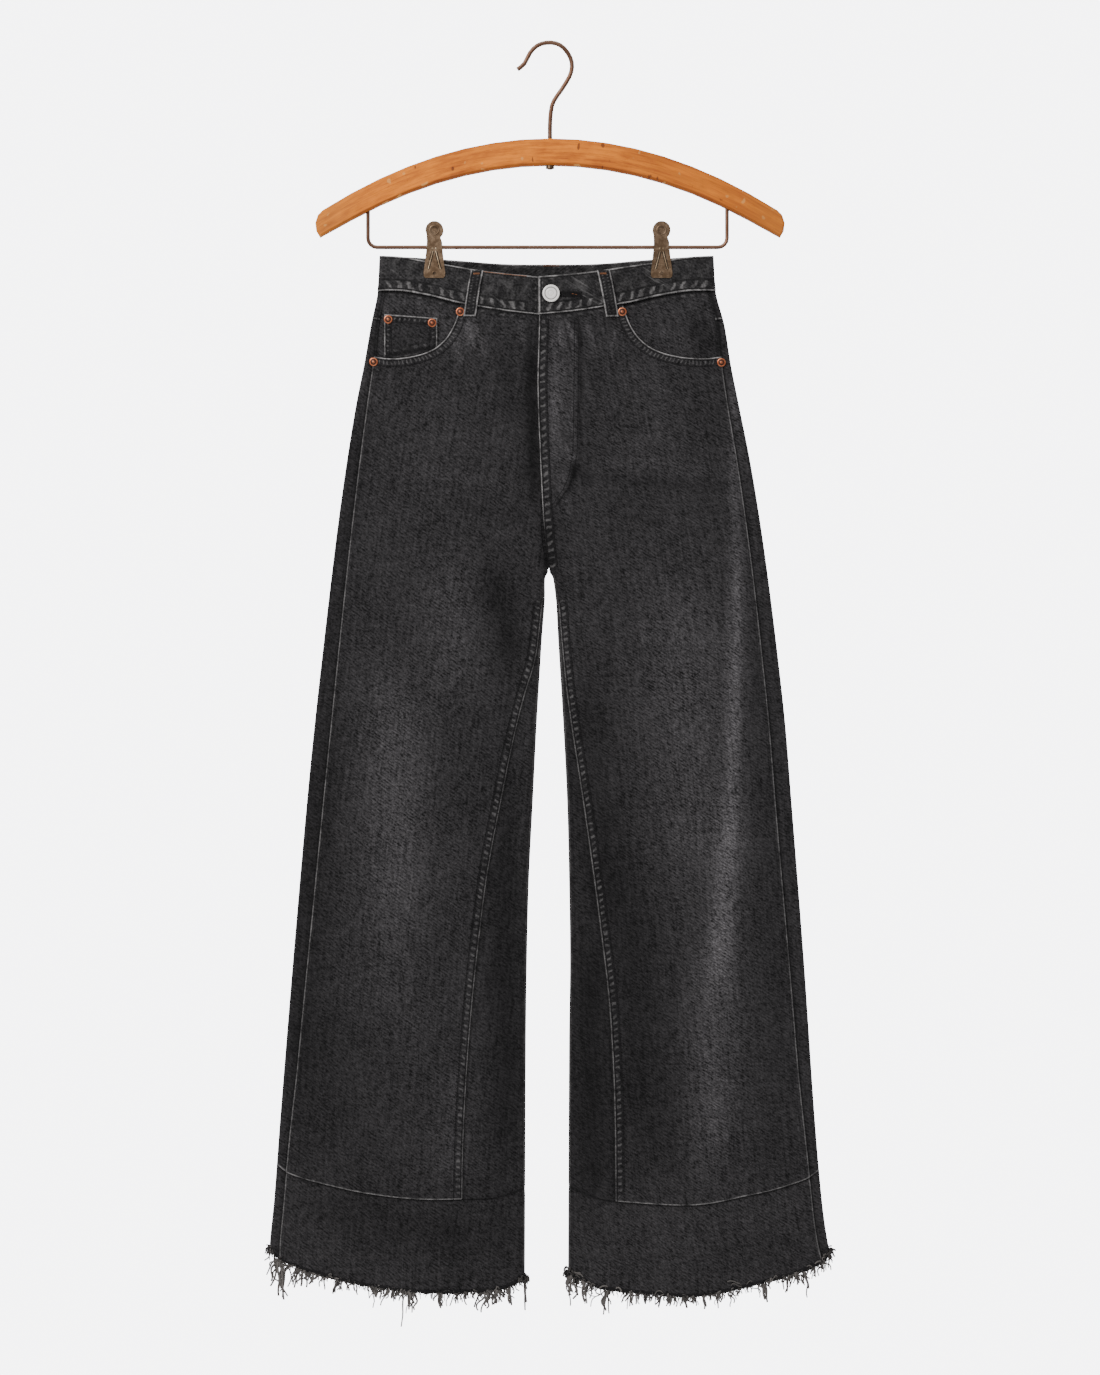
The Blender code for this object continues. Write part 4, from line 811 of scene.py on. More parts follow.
@dataclass
class Laid:
    """A grid of points on the garment, in metres, with what its finish reads."""

    points: Array
    normals: Array
    values: dict[str, Array]
    flat: Array

    def crossed(self) -> Array:
        """The cross product of each face's diagonals, which is twice its area long."""
        a = self.points[1:, 1:] - self.points[:-1, :-1]
        b = self.points[1:, :-1] - self.points[:-1, 1:]
        return np.cross(a, b)

    def cut(self) -> tuple[float, float]:
        """Width and length of the grid's cloth, in metres."""
        across = np.linalg.norm(np.diff(self.points, axis=1), axis=-1).sum(axis=1).max()
        down = np.linalg.norm(np.diff(self.points, axis=0), axis=-1).sum(axis=0).max()
        return float(across), float(down)


def new_mesh(name: str, points: Array, faces: Array) -> Piece:
    """A smooth-shaded mesh object from points and faces.

    Args:
        name: the object's name.
        points: rows of x, y and z, in metres.
        faces: rows of point numbers.

    Returns:
        The object, linked to the scene.
    """
    data = bpy.data.meshes.new(name)
    data.from_pydata(points.reshape(-1, 3).tolist(), [], faces.tolist())
    data.shade_smooth()
    obj = bpy.data.objects.new(name, data)
    bpy.context.scene.collection.objects.link(obj)
    return obj


def add_values(obj: Piece, **values: Array) -> None:
    """Stores a number at each point of a mesh, for its finish to read."""
    for key, numbers in values.items():
        layer = obj.data.attributes.new(key, "FLOAT", "POINT")
        layer.data.foreach_set("value", np.ascontiguousarray(numbers.ravel(), np.float32))


def add_flat(obj: Piece, flat: Array) -> None:
    """Stores each point's place on the flat cloth as a UV map, in metres."""
    layer = obj.data.uv_layers.new(name="cloth")
    corners = np.empty(len(obj.data.loops), np.int32)
    obj.data.loops.foreach_get("vertex_index", corners)
    layer.data.foreach_set("uv", flat.reshape(-1, 2)[corners].astype(np.float32).ravel())


def add_wall(obj: Piece, wall: float) -> None:
    """Gives a sheet its wall, half on each side of its points."""
    solidify = obj.modifiers.new("wall", "SOLIDIFY")
    solidify.thickness = wall * MM
    solidify.offset = 0.0
    solidify.use_quality_normals = True


def weave(name: str, laid: Laid, wall: float) -> Piece:
    """Makes a cloth wall from a laid grid.

    Args:
        name: the piece's name.
        laid: the grid.
        wall: thickness of the cloth, in millimetres.

    Returns:
        The cloth piece, facing outwards.
    """
    rows, columns = laid.points.shape[:2]
    number = np.arange(rows * columns).reshape(rows, columns)
    corners = [number[:-1, :-1], number[:-1, 1:], number[1:, 1:], number[1:, :-1]]
    faces = np.stack(corners, axis=-1)
    if (laid.crossed() * laid.normals[:-1, :-1]).sum() < 0:
        faces = faces[..., ::-1]
    obj = new_mesh(name, laid.points, faces.reshape(-1, 4))
    add_flat(obj, laid.flat)
    add_values(obj, **laid.values)
    add_wall(obj, wall)
    return obj


# How many sides a thread has, and a full turn as the curls of the threads count it.
SIDES, ROUND = 4, 6.28


def tubes(paths: Array, radii: Array, out: Array) -> tuple[Array, Array]:
    """Square tubes along paths, closed at both ends.

    Args:
        paths: the points of each path, with one row of paths.
        radii: the tube's radius at each point.
        out: a direction across each path, for each of its points or for all.

    Returns:
        The tubes' points and faces.
    """
    along = np.gradient(paths, axis=1)
    first = np.cross(along, np.broadcast_to(out, paths.shape))
    first /= np.maximum(np.linalg.norm(first, axis=-1, keepdims=True), 1e-9)
    second = np.cross(first, along)
    second /= np.maximum(np.linalg.norm(second, axis=-1, keepdims=True), 1e-9)
    turn = np.arange(SIDES)[:, None] * (2 * math.pi / SIDES)
    ring = np.cos(turn) * first[:, :, None] + np.sin(turn) * second[:, :, None]
    points = paths[:, :, None] + radii[:, :, None, None] * ring
    number = np.arange(points.size // 3).reshape(points.shape[:3])
    after = np.roll(number, -1, axis=2)
    wall = np.stack([number[:, :-1], number[:, 1:], after[:, 1:], after[:, :-1]], axis=-1)
    faces = [part.reshape(-1, SIDES) for part in (wall, number[:, 0], number[:, -1, ::-1])]
    return points.reshape(-1, 3), np.concatenate(faces)


@dataclass(frozen=True)
class Spacing:
    """Millimetres between a grid's lines: fine near the given places, coarser between them."""

    fine: float = 1.4
    coarse: float = 3.6
    band: float = 14.0

    def shares(self, length: float, places: Sequence[float] = (0.0, 1.0)) -> Array:
        """Shares of a length at which the grid's lines lie.

        Args:
            length: the length, in millimetres.
            places: the shares near which the lines are close together.

        Returns:
            The shares, from 0 to 1.
        """
        at = np.linspace(0, 1, 2001)
        away = np.min([np.abs(at - place) for place in places], axis=0) * length
        step = blend(self.fine, self.coarse, smooth((away - self.band * 0.5) / self.band))
        density = np.concatenate([[0], np.cumsum((1 / step[1:] + 1 / step[:-1]) / 2)])
        count = max(2, math.ceil(density[-1] * length / 2000))
        return np.interp(np.linspace(0, density[-1], count + 1), density, at)


class Placed(NamedTuple):
    """Where the points of a grid lie on the form, and how far above it."""

    half: Array
    around: Array
    drop: Array
    lift: Array


FAR_AWAY = 60.0


@dataclass
class Panel:
    """A cut piece of cloth: its wall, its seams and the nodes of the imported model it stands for.

    The size is the width and the length that the lines of its grid are spaced for.
    """

    name: str
    nodes: tuple[str, ...]
    wall: float = DENIM
    spacing: Spacing = Spacing()
    size: tuple[float, float] = (0.0, 0.0)
    half: int = RIGHT
    seams: list[SeamLine] = field(default_factory=list)
    tone: float = 0.0
    wear: float = 0.0
    cut: tuple[float, float, float] = (0.0, 0.0, 0.0)

    SHADOW = 0.7
    SHADOW_WIDTH = 1.8

    def place(self) -> Placed:
        """Where the points of the piece's grid lie."""
        raise NotImplementedError

    def raised(self, drop: Array) -> Array:
        """How far the middle of the piece's cloth lies above the form."""
        return np.zeros(drop.shape)

    def span(self, face: int, drop: float) -> float:
        """Width of the piece's half at a drop."""
        return float(FORM.width(self.half, face, drop))

    def hang(self, corners: Array, share: Array, girths: Callable) -> tuple[Array, Array]:
        """Places a grid whose rows hang from corners on the outer edge, as the hem does.

        Args:
            corners: the rows' drops at the outer edge.
            share: the columns' shares.
            girths: girths at the columns' shares and drops.

        Returns:
            The points' girths and drops.
        """
        def level(across: Array) -> Array:
            """Drops at shares of the width."""
            return FORM.leg_level(self.half, corners[:, None], across)

        return FORM.settle(self.half, level, girths, len(corners), share)

    def laid(self, around: Array, drop: Array) -> Placed:
        """Points that lie on the form itself."""
        return Placed(np.full(around.shape, self.half), around, drop, np.zeros(around.shape))

    def read(self, x: Array, drop: Array, face: Array) -> tuple[dict[str, Array], Array]:
        """What the finish reads at points on the piece's faces, and how far they are raised."""
        found = {key: np.zeros(x.shape) for key in ("beat", "edge", "ladder", "band")}
        found["worn"] = np.full(x.shape, self.wear)
        fade, deep = np.full(x.shape, self.tone), np.zeros(x.shape)
        away, relief = np.full(x.shape, FAR_AWAY), np.zeros(x.shape)
        # Broad patches: paler for wear and painted highlight, darker for painted shade.
        for side, strokes in FADES.items():
            for *stroke, strength in strokes:
                fade += np.where(face == side, strength * stroke_share(stroke, x, drop), 0)
        for seam in self.seams:
            near = seam.near(x, drop, face)
            if not near.any():
                continue
            distance, run = along_line(x[near], drop[near], seam.line)
            relief[near] += seam.relief(distance, run)
            look = seam.look
            # Painted shadow along the seams where this piece sinks under another, kept as deep.
            dark = np.exp(-((distance / self.SHADOW_WIDTH) ** 2))
            deep[near] += self.SHADOW * (look.under > 0) * dark
            if look.edge + look.ladder > 0:
                closer = np.zeros(x.shape, bool)
                closer[near] = distance < away[near]
                pick = closer[near]
                away[closer] = distance[pick]
                found["beat"][closer] = run[pick] / look.pitch
                for key in ("edge", "ladder", "band"):
                    found[key][closer] = getattr(look, key)
        return {**found, "fade": fade, "deep": deep, "away": away}, relief

    def build(self, dress: "Dress") -> Piece:
        """Lays and weaves the piece, puts it in place of its nodes and records its cut.

        Args:
            dress: the finishes.

        Returns:
            The piece.
        """
        placed = self.place()
        points = FORM.middle(placed.half, placed.around, placed.drop)
        normals = FORM.outward(placed.half, placed.around, placed.drop)
        face = face_of(placed.around)
        values, relief = self.read(points[..., 0], placed.drop, face)
        relief = relief * smooth(np.abs(normals[..., 1]) * 1.5)
        points = points + normals * (placed.lift + relief)[..., None]
        flat = np.stack([placed.around * placed.half, -placed.drop], axis=-1)
        laid = Laid(points * MM, normals, values, flat * MM)
        obj = weave(self.name, laid, self.wall)
        dress.put(obj, Finish.DENIM)
        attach(obj, "root")
        if self.nodes:
            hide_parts(*self.nodes)
        area = float((np.linalg.norm(laid.crossed(), axis=-1) / 2).sum())
        width, length = laid.cut()
        LOG.info("%s: %d faces, %.3f x %.3f m", self.name, len(obj.data.polygons), width, length)
        self.cut = (width, length, min(area, width * length))
        return obj

    def record(self) -> None:
        """Unpacks the piece's cut, its width, length and area, and does nothing more with it."""
        width, length, area = self.cut


def levels(top: float, low: float, fine_at: Sequence[float], spacing: Spacing) -> Array:
    """Drops of a grid's rows, close together near the given ones."""
    places = [0.0, 1.0, *((at - top) / (low - top) for at in fine_at)]
    return top + (low - top) * spacing.shares(low - top, places)


# The level from which a leg's rows hang like its hem, a level in the middle of the leg, and those
# near which the rows are close together.
THIGH_TOP, THIGH, THIGH_PLACES = 120.0, 500.0, (300.0, CROTCH)
# How far an under piece reaches in below the one on top, and where an upper edge is looked for.
TUCK, SEARCH_START = 2.2, 60.0
# Where the underlaps of the fly and the waistband start to sink, before the edge over them.
SINK_PLACES, SINK_SHARES = (-12, -1), (0, 0.35, 1)
POCKET_SHARE = {RIGHT: 0.44, LEFT: 0.53}
UNDERLAP_COLUMNS = 7
SECTIONS = ("upper", "middle", "lower")


@dataclass
class FrontLeg(Panel):
    """A front leg, from the waistband's seam and the pocket's curve to the hem band."""

    upper: float = 60.0

    def girths(self, share: Array, drop: Array) -> Array:
        """Girths of the columns: past 1 they run under the left front."""
        start = FORM.side_seam(self.half, drop, -SEAM_GAP / 2)
        end = FORM.inner_limit(self.half, FRONT, drop)
        under = np.clip((FLY_END - drop) / FLY_TAPER, 0, 1) * (FLY_UNDERLAP - CROTCH_UNDERLAP)
        under = under + np.clip((CROTCH - drop) / CROTCH_BLEND, 0, 1) * CROTCH_UNDERLAP
        return blend(start, end, np.minimum(share, 1)) + np.maximum(share - 1, 0) * under

    def top_edge(self, share: Array) -> Array:
        """Drop of the panel's top edge at each column."""
        drop = np.full(share.shape, SEARCH_START)
        for _ in range(2 * SETTLE_ROUNDS):
            around = -self.girths(share, drop)
            across = FORM.share_across(self.half, around, drop)
            waist = WAIST_DIPS[FRONT, "seam"](across) - TUCK
            x = self.half * FORM.middle(self.half, around, drop)[..., 0]
            found = np.where(x < 0, waist, FORM.pocket_drop(self.half, x, waist))
            drop = blend(drop, found + SEAM_GAP / 2, 0.7)
        return drop

    def place(self) -> Placed:
        """Rows from the top edge to the level of the thigh, then down the leg."""
        spacing = self.spacing
        share = spacing.shares(self.span(FRONT, THIGH), (0.0, POCKET_SHARE[self.half], 1.0))
        if self.half == RIGHT:
            share = np.concatenate([share, 1 + np.linspace(0, 1, UNDERLAP_COLUMNS)[1:]])
        low = levels(THIGH_TOP, BAND_CORNER[self.half] - SEAM_GAP / 2, THIGH_PLACES, spacing)
        around, drop = self.hang(low, share, lambda s, d: -self.girths(s, d))
        upper = spacing.shares(self.upper, (0.0,))[:-1]
        top_rows = blend(self.top_edge(share), THIGH_TOP, upper[:, None])
        top_around = -self.girths(np.broadcast_to(share, top_rows.shape), top_rows)
        around, drop = np.concatenate([top_around, around]), np.concatenate([top_rows, drop])
        return Placed(np.full(around.shape, self.half), around, drop, -self.sink(around, drop))

    def sink(self, around: Array, drop: Array) -> Array:
        """How far the right front goes under the left one at the fly."""
        if self.half == LEFT:
            return np.zeros(around.shape)
        past = np.abs(around) - FORM.inner_limit(self.half, FRONT, drop)
        depth = FLY_SINK * np.clip((CROTCH - drop) / (2 * CROTCH_BLEND), 0, 1)
        return depth * np.interp(past, [-FLY_TAPER, *SINK_PLACES], SINK_SHARES)


@dataclass
class BackLeg(Panel):
    """A back leg, from the yoke's seam to the hem band, wrapped round to the side seam."""

    spacing: Spacing = Spacing(1.8, 4.2)
    upper: float = 45.0
    wrap: int = 16

    def wrapped(self, drop: float) -> Array:
        """Columns: -1 at the side seam, 0 at the outer fold and 1 at the piece's end."""
        turn = -np.linspace(1, 0, self.wrap)
        return np.concatenate([turn, self.spacing.shares(self.span(BACK, drop))[1:]])

    def girths(self, share: Array, drop: Array) -> Array:
        """Girths of the columns: below 0 on the front, above 0 on the back."""
        start = -FORM.side_seam(self.half, drop, SEAM_GAP / 2 - TUCK)
        end = self.end(drop)
        return np.where(share < 0, -share * start, share * end)

    def end(self, drop: Array) -> Array:
        """Girth at the piece's last column."""
        return FORM.inner_limit(self.half, BACK, drop)

    def place(self) -> Placed:
        """Rows from the upper edge to the level of the thigh, then down the leg."""
        share = self.wrapped(THIGH)
        end = BAND_CORNER[self.half] - SEAM_GAP / 2
        low = levels(THIGH_TOP, end, THIGH_PLACES, self.spacing)
        around, drop = self.hang(low, share, self.girths)
        upper = self.spacing.shares(self.upper, (0.0,))[:-1, None]

        def level(across: Array) -> Array:
            """Drops of the upper rows at shares of the width."""
            return blend(blend(YOKE_SIDE, YOKE_MIDDLE, across) - TUCK, THIGH_TOP, upper)

        top_around, top_drop = FORM.settle(self.half, level, self.girths, len(upper), share)
        around, drop = np.concatenate([top_around, around]), np.concatenate([top_drop, drop])
        return self.laid(around, drop)


@dataclass
class BackYoke(BackLeg):
    """The yoke between the waistband and the back leg."""

    spacing: Spacing = Spacing(1.8, 3.6)
    wrap: int = 9
    middle: float = 80.0

    def place(self) -> Placed:
        """Rows from the waistband's seam to the yoke's."""
        share = self.wrapped(self.middle)
        rows = self.spacing.shares(self.upper)[:, None]

        def level(across: Array) -> Array:
            """Drops at shares of the width."""
            seam = WAIST_DIPS[BACK, "seam"](across) - TUCK
            return blend(seam, blend(YOKE_SIDE, YOKE_MIDDLE, across) - SEAM_GAP / 2, rows)

        return self.laid(*FORM.settle(self.half, level, self.girths, len(rows), share))


@dataclass
class HemBand(BackLeg):
    """The band at the bottom of one face of a leg."""

    spacing: Spacing = Spacing(1.5, 3.4)
    wrap: int = 12
    middle: float = 950.0
    face: int = FRONT

    def end(self, drop: Array) -> Array:
        """Girth at the inner fold."""
        return full_girth(FORM.width(self.half, self.face, drop)) - SEAM_GAP / 2

    def girths(self, share: Array, drop: Array) -> Array:
        """Girths of the columns."""
        if self.face == BACK:
            return super().girths(share, drop)
        start = FORM.side_seam(self.half, drop, -SEAM_GAP / 2)
        return -blend(start, self.end(drop), share)

    def place(self) -> Placed:
        """Rows from the band's seam, and a little under it, to the raw edge."""
        share = self.wrapped(self.middle)
        if self.face == FRONT:
            share = self.spacing.shares(self.span(FRONT, self.middle))
        top, low = BAND_CORNER[self.half] - TUCK, HEM_CORNER[self.half] - FRAYED_EDGE
        nominal = blend(top, low, self.spacing.shares(low - top))
        return self.laid(*self.hang(nominal, share, self.girths))


@dataclass
class Wedge(Panel):
    """The gusset that is let in along the inner leg, down to the hem band."""

    spacing: Spacing = Spacing(1.5, 3.4)
    size: tuple[float, float] = (60.0, 0.0)
    face: int = FRONT
    tuck: float = 4.5

    def girths(self, share: Array, drop: Array) -> Array:
        """Girths of the columns."""
        start = FORM.gusset_start(self.half, self.face, drop)
        end = full_girth(FORM.width(self.half, self.face, drop)) - SEAM_GAP / 2
        return self.face * blend(start - TUCK, end, share)

    def place(self) -> Placed:
        """Columns from a little under the leg to the inner fold."""
        low = BAND_CORNER[self.half] - SEAM_GAP / 2
        nominal = levels(GUSSET_TOP - self.tuck, low, (), self.spacing)
        return self.laid(*self.hang(nominal, self.spacing.shares(self.size[0]), self.girths))


@dataclass
class Waistband(Panel):
    """The waistband: one strip from the tab, round the left side, the back and the right side."""

    wall: float = WAISTBAND_WALL
    spacing: Spacing = Spacing(1.2, 2.4, 9)
    size: tuple[float, float] = (165.0, 36.0)
    underlap_columns: int = 14
    sink_start: float = -20.0

    def place(self) -> Placed:
        """Columns along the band and rows down it."""
        run, rows = (self.spacing.shares(length) for length in self.size)
        under = 1 + np.linspace(0, 1, self.underlap_columns)[1:]
        last = np.concatenate([run[1:], under])
        parts = (LEFT, FRONT, run[::-1]), (LEFT, BACK, run[1:]), (RIGHT, BACK, run[-2::-1])
        columns = zip(*(np.broadcast_arrays(*part) for part in (*parts, (RIGHT, FRONT, last))))
        half, face, share = (np.tile(np.concatenate(part), (len(rows), 1)) for part in columns)
        drop = np.full(share.shape, WAIST_MIDDLE)
        for _ in range(SETTLE_ROUNDS):
            around = self.girths(half, face, share, drop)
            drop = self.level(half, face, around, drop, rows[:, None])
        around = self.girths(half, face, share, drop)
        past = np.abs(around) - FORM.total(half, face_of(around), drop)
        is_under = (half == RIGHT) & (face == FRONT)
        sunk = np.interp(past, [self.sink_start, *SINK_PLACES], SINK_SHARES)
        sink = np.where(is_under, sunk, 0)
        return Placed(half, around, drop, -sink * WAIST_SINK)

    def girths(self, half: Array, face: Array, share: Array, drop: Array) -> Array:
        """Girths of the columns, past the total on the underlap."""
        total = FORM.total(half, face, drop)
        flat = np.minimum(share, 1) * total + np.maximum(share - 1, 0) * WAIST_UNDERLAP
        return face * np.maximum(flat, 1e-6)

    def level(self, half: Array, face: Array, around: Array, drop: Array, rows: Array) -> Array:
        """Drops of the rows."""
        found = np.empty(drop.shape)
        rows = np.broadcast_to(rows, drop.shape)
        for side, way, mask in quarters(half, face):
            across = FORM.share_across(side, around[mask], drop[mask])
            top, seam = (WAIST_DIPS[way, edge](across) for edge in ("top", "seam"))
            found[mask] = blend(top, seam - SEAM_GAP / 2, rows[mask])
        return found


@dataclass
class Patch(Panel):
    """A piece laid on one face by its x and its drop."""

    face: int = FRONT

    def outline(self, across: Array, down: Array) -> tuple[Array, Array, Array]:
        """The x, drop and lift of points at shares across and down the piece."""
        raise NotImplementedError

    def grid(self) -> tuple[Array, Array]:
        """Shares across and down of the piece's points, close together near all its edges."""
        return tuple(self.spacing.shares(length) for length in self.size)

    def place(self) -> Placed:
        """Lays the piece's outline on its face."""
        across, down = np.meshgrid(*self.grid())
        x, drop, lift = self.outline(across, down)
        half, around = FORM.spot(x, self.face, drop)
        return Placed(half, around, drop, np.broadcast_to(lift, drop.shape))


@dataclass
class Facing(Patch):
    """The cloth behind a front pocket's opening."""

    spacing: Spacing = Spacing(1.4, 2.8)
    size: tuple[float, float] = (100.0, 75.0)

    def grid(self) -> tuple[Array, Array]:
        """Close together near the side seam and the waistband."""
        return tuple(self.spacing.shares(length, (0.0,)) for length in self.size)

    def outline(self, across: Array, down: Array) -> tuple[Array, Array, Array]:
        """From the side seam inwards, and from the waistband's seam down under the pocket."""
        drop = np.full(across.shape, SEARCH_START)
        inner = POCKET_CORNERS[self.half] - POCKET_UNDERLAY
        for _ in range(6):
            start = FORM.outer_edge(self.half, drop) - SIDE_INSET(drop) - SEAM_GAP / 2
            distance = blend(start, inner, across)
            reach = FORM.outer_edge(self.half, drop) - distance
            share = reach / FORM.width(self.half, FRONT, drop)
            seam = WAIST_DIPS[FRONT, "seam"](share) + SEAM_GAP / 2
            pocket = FORM.pocket_drop(self.half, distance, seam) + POCKET_UNDERLAY
            drop = blend(seam - TUCK, np.maximum(pocket, seam + 30), down)
        sink = DENIM + SEAM_GAP + FACING_SLACK * across
        return self.half * distance, drop, -sink


# The coin pocket's outer and inner edge: the x, and the drops of the upper and the lower corner.
COIN_EDGES = ((-165.5, 57.5, 99.5), (-112.5, 62, 91.0))


@dataclass
class CoinPocket(Patch):
    """The small pocket on the right facing."""

    wall: float = POCKET_CLOTH
    spacing: Spacing = Spacing(1.1, 2.2, 9)
    size: tuple[float, float] = (53.0, 40.0)

    def outline(self, across: Array, down: Array) -> tuple[Array, Array, Array]:
        """From its top edge to the front pocket's curve."""
        x, top, _ = (blend(*ends, across) for ends in zip(*COIN_EDGES))
        low = FORM.pocket_drop(RIGHT, -x, np.zeros(x.shape)) - 2 * SEAM_GAP
        drop = blend(top, low, down)
        return x, drop, self.raised(drop)

    def raised(self, drop: Array) -> Array:
        """Its outer side is flush with the leg's."""
        return np.full(drop.shape, POCKET_CLOTH / 2 - DENIM / 2)


BACK_POCKET_MIDDLE = 98.0
BACK_POCKET_TOP = 118.0
BACK_POCKET_LOW = 252.0
BACK_POCKET_WIDTHS = (146.0, 126.0)
BACK_POCKET_POINT = 20.0
BACK_POCKET_TILT = 10.0
BACK_POCKET_LIFT = DENIM + SEAM_GAP + 0.5


@dataclass
class BackPocket(Patch):
    """A plain patch pocket on a back leg, pointed at the bottom."""

    spacing: Spacing = Spacing(1.6, 3.4)
    size: tuple[float, float] = (140.0, 145.0)

    def grid(self) -> tuple[Array, Array]:
        """Close together near its point too."""
        width, length = self.size
        return self.spacing.shares(width, (0.0, 0.5, 1.0)), self.spacing.shares(length)

    def outline(self, across: Array, down: Array) -> tuple[Array, Array, Array]:
        """From its top edge to its point."""
        x, drop = self.spot_at(across - 0.5, down)
        return x, drop, self.raised(drop)

    def raised(self, drop: Array) -> Array:
        """It lies on the back leg."""
        return np.full(drop.shape, BACK_POCKET_LIFT)

    def spot_at(self, aside: Array, down: Array) -> tuple[Array, Array]:
        """The x and drop at a place across, from -0.5 to 0.5, and a share of the way down."""
        x = self.half * (BACK_POCKET_MIDDLE + aside * blend(*BACK_POCKET_WIDTHS, down))
        top = BACK_POCKET_TOP - BACK_POCKET_TILT * aside
        low = BACK_POCKET_LOW + BACK_POCKET_POINT * (1 - 2 * np.abs(aside))
        return x, blend(top, low, down)

    def rim(self) -> Array:
        """The pocket's edge, as rows of x and drop."""
        run = np.linspace(0, 1, 25)
        aside = np.concatenate([np.full(25, -0.5), run - 0.5, np.full(25, 0.5), 0.5 - run])
        down = np.concatenate([run, np.ones(25), 1 - run, np.zeros(25)])
        return np.stack(self.spot_at(aside, down), axis=-1)


class LoopPlace(NamedTuple):
    """A belt loop: its face, and its x at the top and at the bottom."""

    face: int
    top_x: float
    low_x: float


LOOPS = (
    LoopPlace(FRONT, -72, -80),
    LoopPlace(FRONT, 53, 62),
    LoopPlace(BACK, -146, -149),
    LoopPlace(BACK, 0.5, 0.5),
    LoopPlace(BACK, 140, 143),
)
LOOP_WIDTH = 12.0
LOOP_BELOW_BAND = 12.0
LOOP_BASE = WAISTBAND_WALL / 2 + SEAM_GAP + LOOP_WALL / 2


@dataclass
class BeltLoop(Patch):
    """A belt loop on the waistband, standing a little off it between its ends."""

    wall: float = LOOP_WALL
    columns: int = 13
    rows: int = 52
    loop: LoopPlace = LOOPS[0]

    def grid(self) -> tuple[Array, Array]:
        """Close together all over."""
        return np.linspace(0, 1, self.columns), np.linspace(0, 1, self.rows)

    def ends(self) -> tuple[float, float]:
        """Drops of the loop's two ends."""
        found = []
        for edge, x in (("top", self.loop.top_x), ("seam", self.loop.low_x)):
            half, around = FORM.spot(np.array([x]), self.face, np.array([WAIST_MIDDLE]))
            share = FORM.share_across(int(half[0]), around, np.array([WAIST_MIDDLE]))
            found.append(float(WAIST_DIPS[self.face, edge](share)[0]))
        return found[0] + 0.5, found[1] + LOOP_BELOW_BAND

    def outline(self, across: Array, down: Array) -> tuple[Array, Array, Array]:
        """Down the waistband, with its two long edges folded and a bar-tack at each end."""
        loop = self.loop
        x = blend(loop.top_x, loop.low_x, down) + (across - 0.5) * LOOP_WIDTH
        drop = blend(*self.ends(), down)
        rounded = 0.45 * np.sqrt(np.clip(1 - (2 * across - 1) ** 4, 0, 1)) - 0.3
        return x, drop, self.raised(drop) + rounded

    def raised(self, drop: Array) -> Array:
        """It stands off the waistband between its ends."""
        top, low = self.ends()
        down = (drop - top) / (low - top)
        return LOOP_BASE + 1.3 * smooth(np.minimum(down, 1 - down) / 0.3 - 0.15)

    def rim(self) -> Array:
        """The loop's two long edges and its lower end, as rows of x and drop."""
        top, low = self.ends()
        loop, side = self.loop, LOOP_WIDTH / 2
        left, right = (loop.top_x - side, top), (loop.top_x + side, top)
        return np.array([left, (loop.low_x - side, low), (loop.low_x + side, low), right])


class Row(NamedTuple):
    """A row of stitches on a piece: its line, as rows of x and drop, and its stitches."""

    panel: Panel
    face: int
    line: Array
    pitch: float = 3.0
    length: float = 2.2
    across: bool = False
    below: bool = False


class Stitching:
    """The sewing that shows, all in one colour of thread."""

    RADIUS = 0.30
    ARCH = 0.22
    STATIONS = 4

    def __init__(self, name: str, finish: "Finish") -> None:
        """Takes the piece's name and its thread."""
        self.name, self.finish = name, finish
        self.paths: list[Array] = []
        self.sewn: set[tuple] = set()

    def seams(self, panel: Panel, placed: Placed) -> None:
        """Sews the rows beside a piece's seams, each seam once."""
        x = FORM.middle(placed.half, placed.around, placed.drop)[..., 0]
        face = face_of(placed.around)
        for seam in panel.seams:
            on_face = face == seam.face
            key = (seam.look, seam.face, *seam.line[0].round(1), *seam.line[-1].round(1))
            if not seam.look.rows or key in self.sewn or not on_face.any():
                continue
            self.sewn.add(key)
            inside = np.stack([x[on_face], placed.drop[on_face]], axis=-1)
            for offset in seam.look.rows:
                self.row(Row(panel, seam.face, seam.beside(offset, inside)))

    def row(self, row: Row) -> None:
        """Sews one row."""
        step = np.linalg.norm(np.diff(row.line, axis=0), axis=1)
        run = np.concatenate([[0.0], np.cumsum(step)])
        start = np.arange(row.pitch * 0.5, run[-1] - row.length * 0.5, row.pitch)
        t = np.linspace(0, 1, self.STATIONS)
        along = start[:, None] + (t * 0 if row.across else t * row.length)
        x = np.interp(along, run, row.line[:, 0])
        drop = np.interp(along, run, row.line[:, 1])
        if row.across:
            turned = np.array([np.ptp(row.line[:, 1]), np.ptp(row.line[:, 0])]) / run[-1]
            x = x + (t - 0.5) * row.length * turned[0]
            drop = drop + (t - 0.5) * row.length * turned[1]
        half, around = FORM.spot(x, row.face, drop)
        relief = row.panel.read(x, drop, np.full(x.shape, row.face))[1]
        lift = row.panel.raised(drop) + relief
        height = row.panel.wall / 2 + self.RADIUS * 0.3 + self.ARCH * np.sin(t * math.pi)
        lift = lift + (-height if row.below else height)
        out = FORM.outward(half, around, drop)
        self.paths.append(FORM.middle(half, around, drop) + out * lift[..., None])

    def build(self, dress: "Dress") -> None:
        """Makes the piece."""
        paths = np.concatenate(self.paths)
        radii = np.full(paths.shape[:2], self.RADIUS)
        points, faces = tubes(paths * MM, radii * MM, np.array([0.0, 1.0, 0.0]))
        obj = new_mesh(self.name, points, faces)
        dress.put(obj, self.finish)
        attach(obj, "root")
        LOG.info("%s: %d stitches", self.name, len(paths))


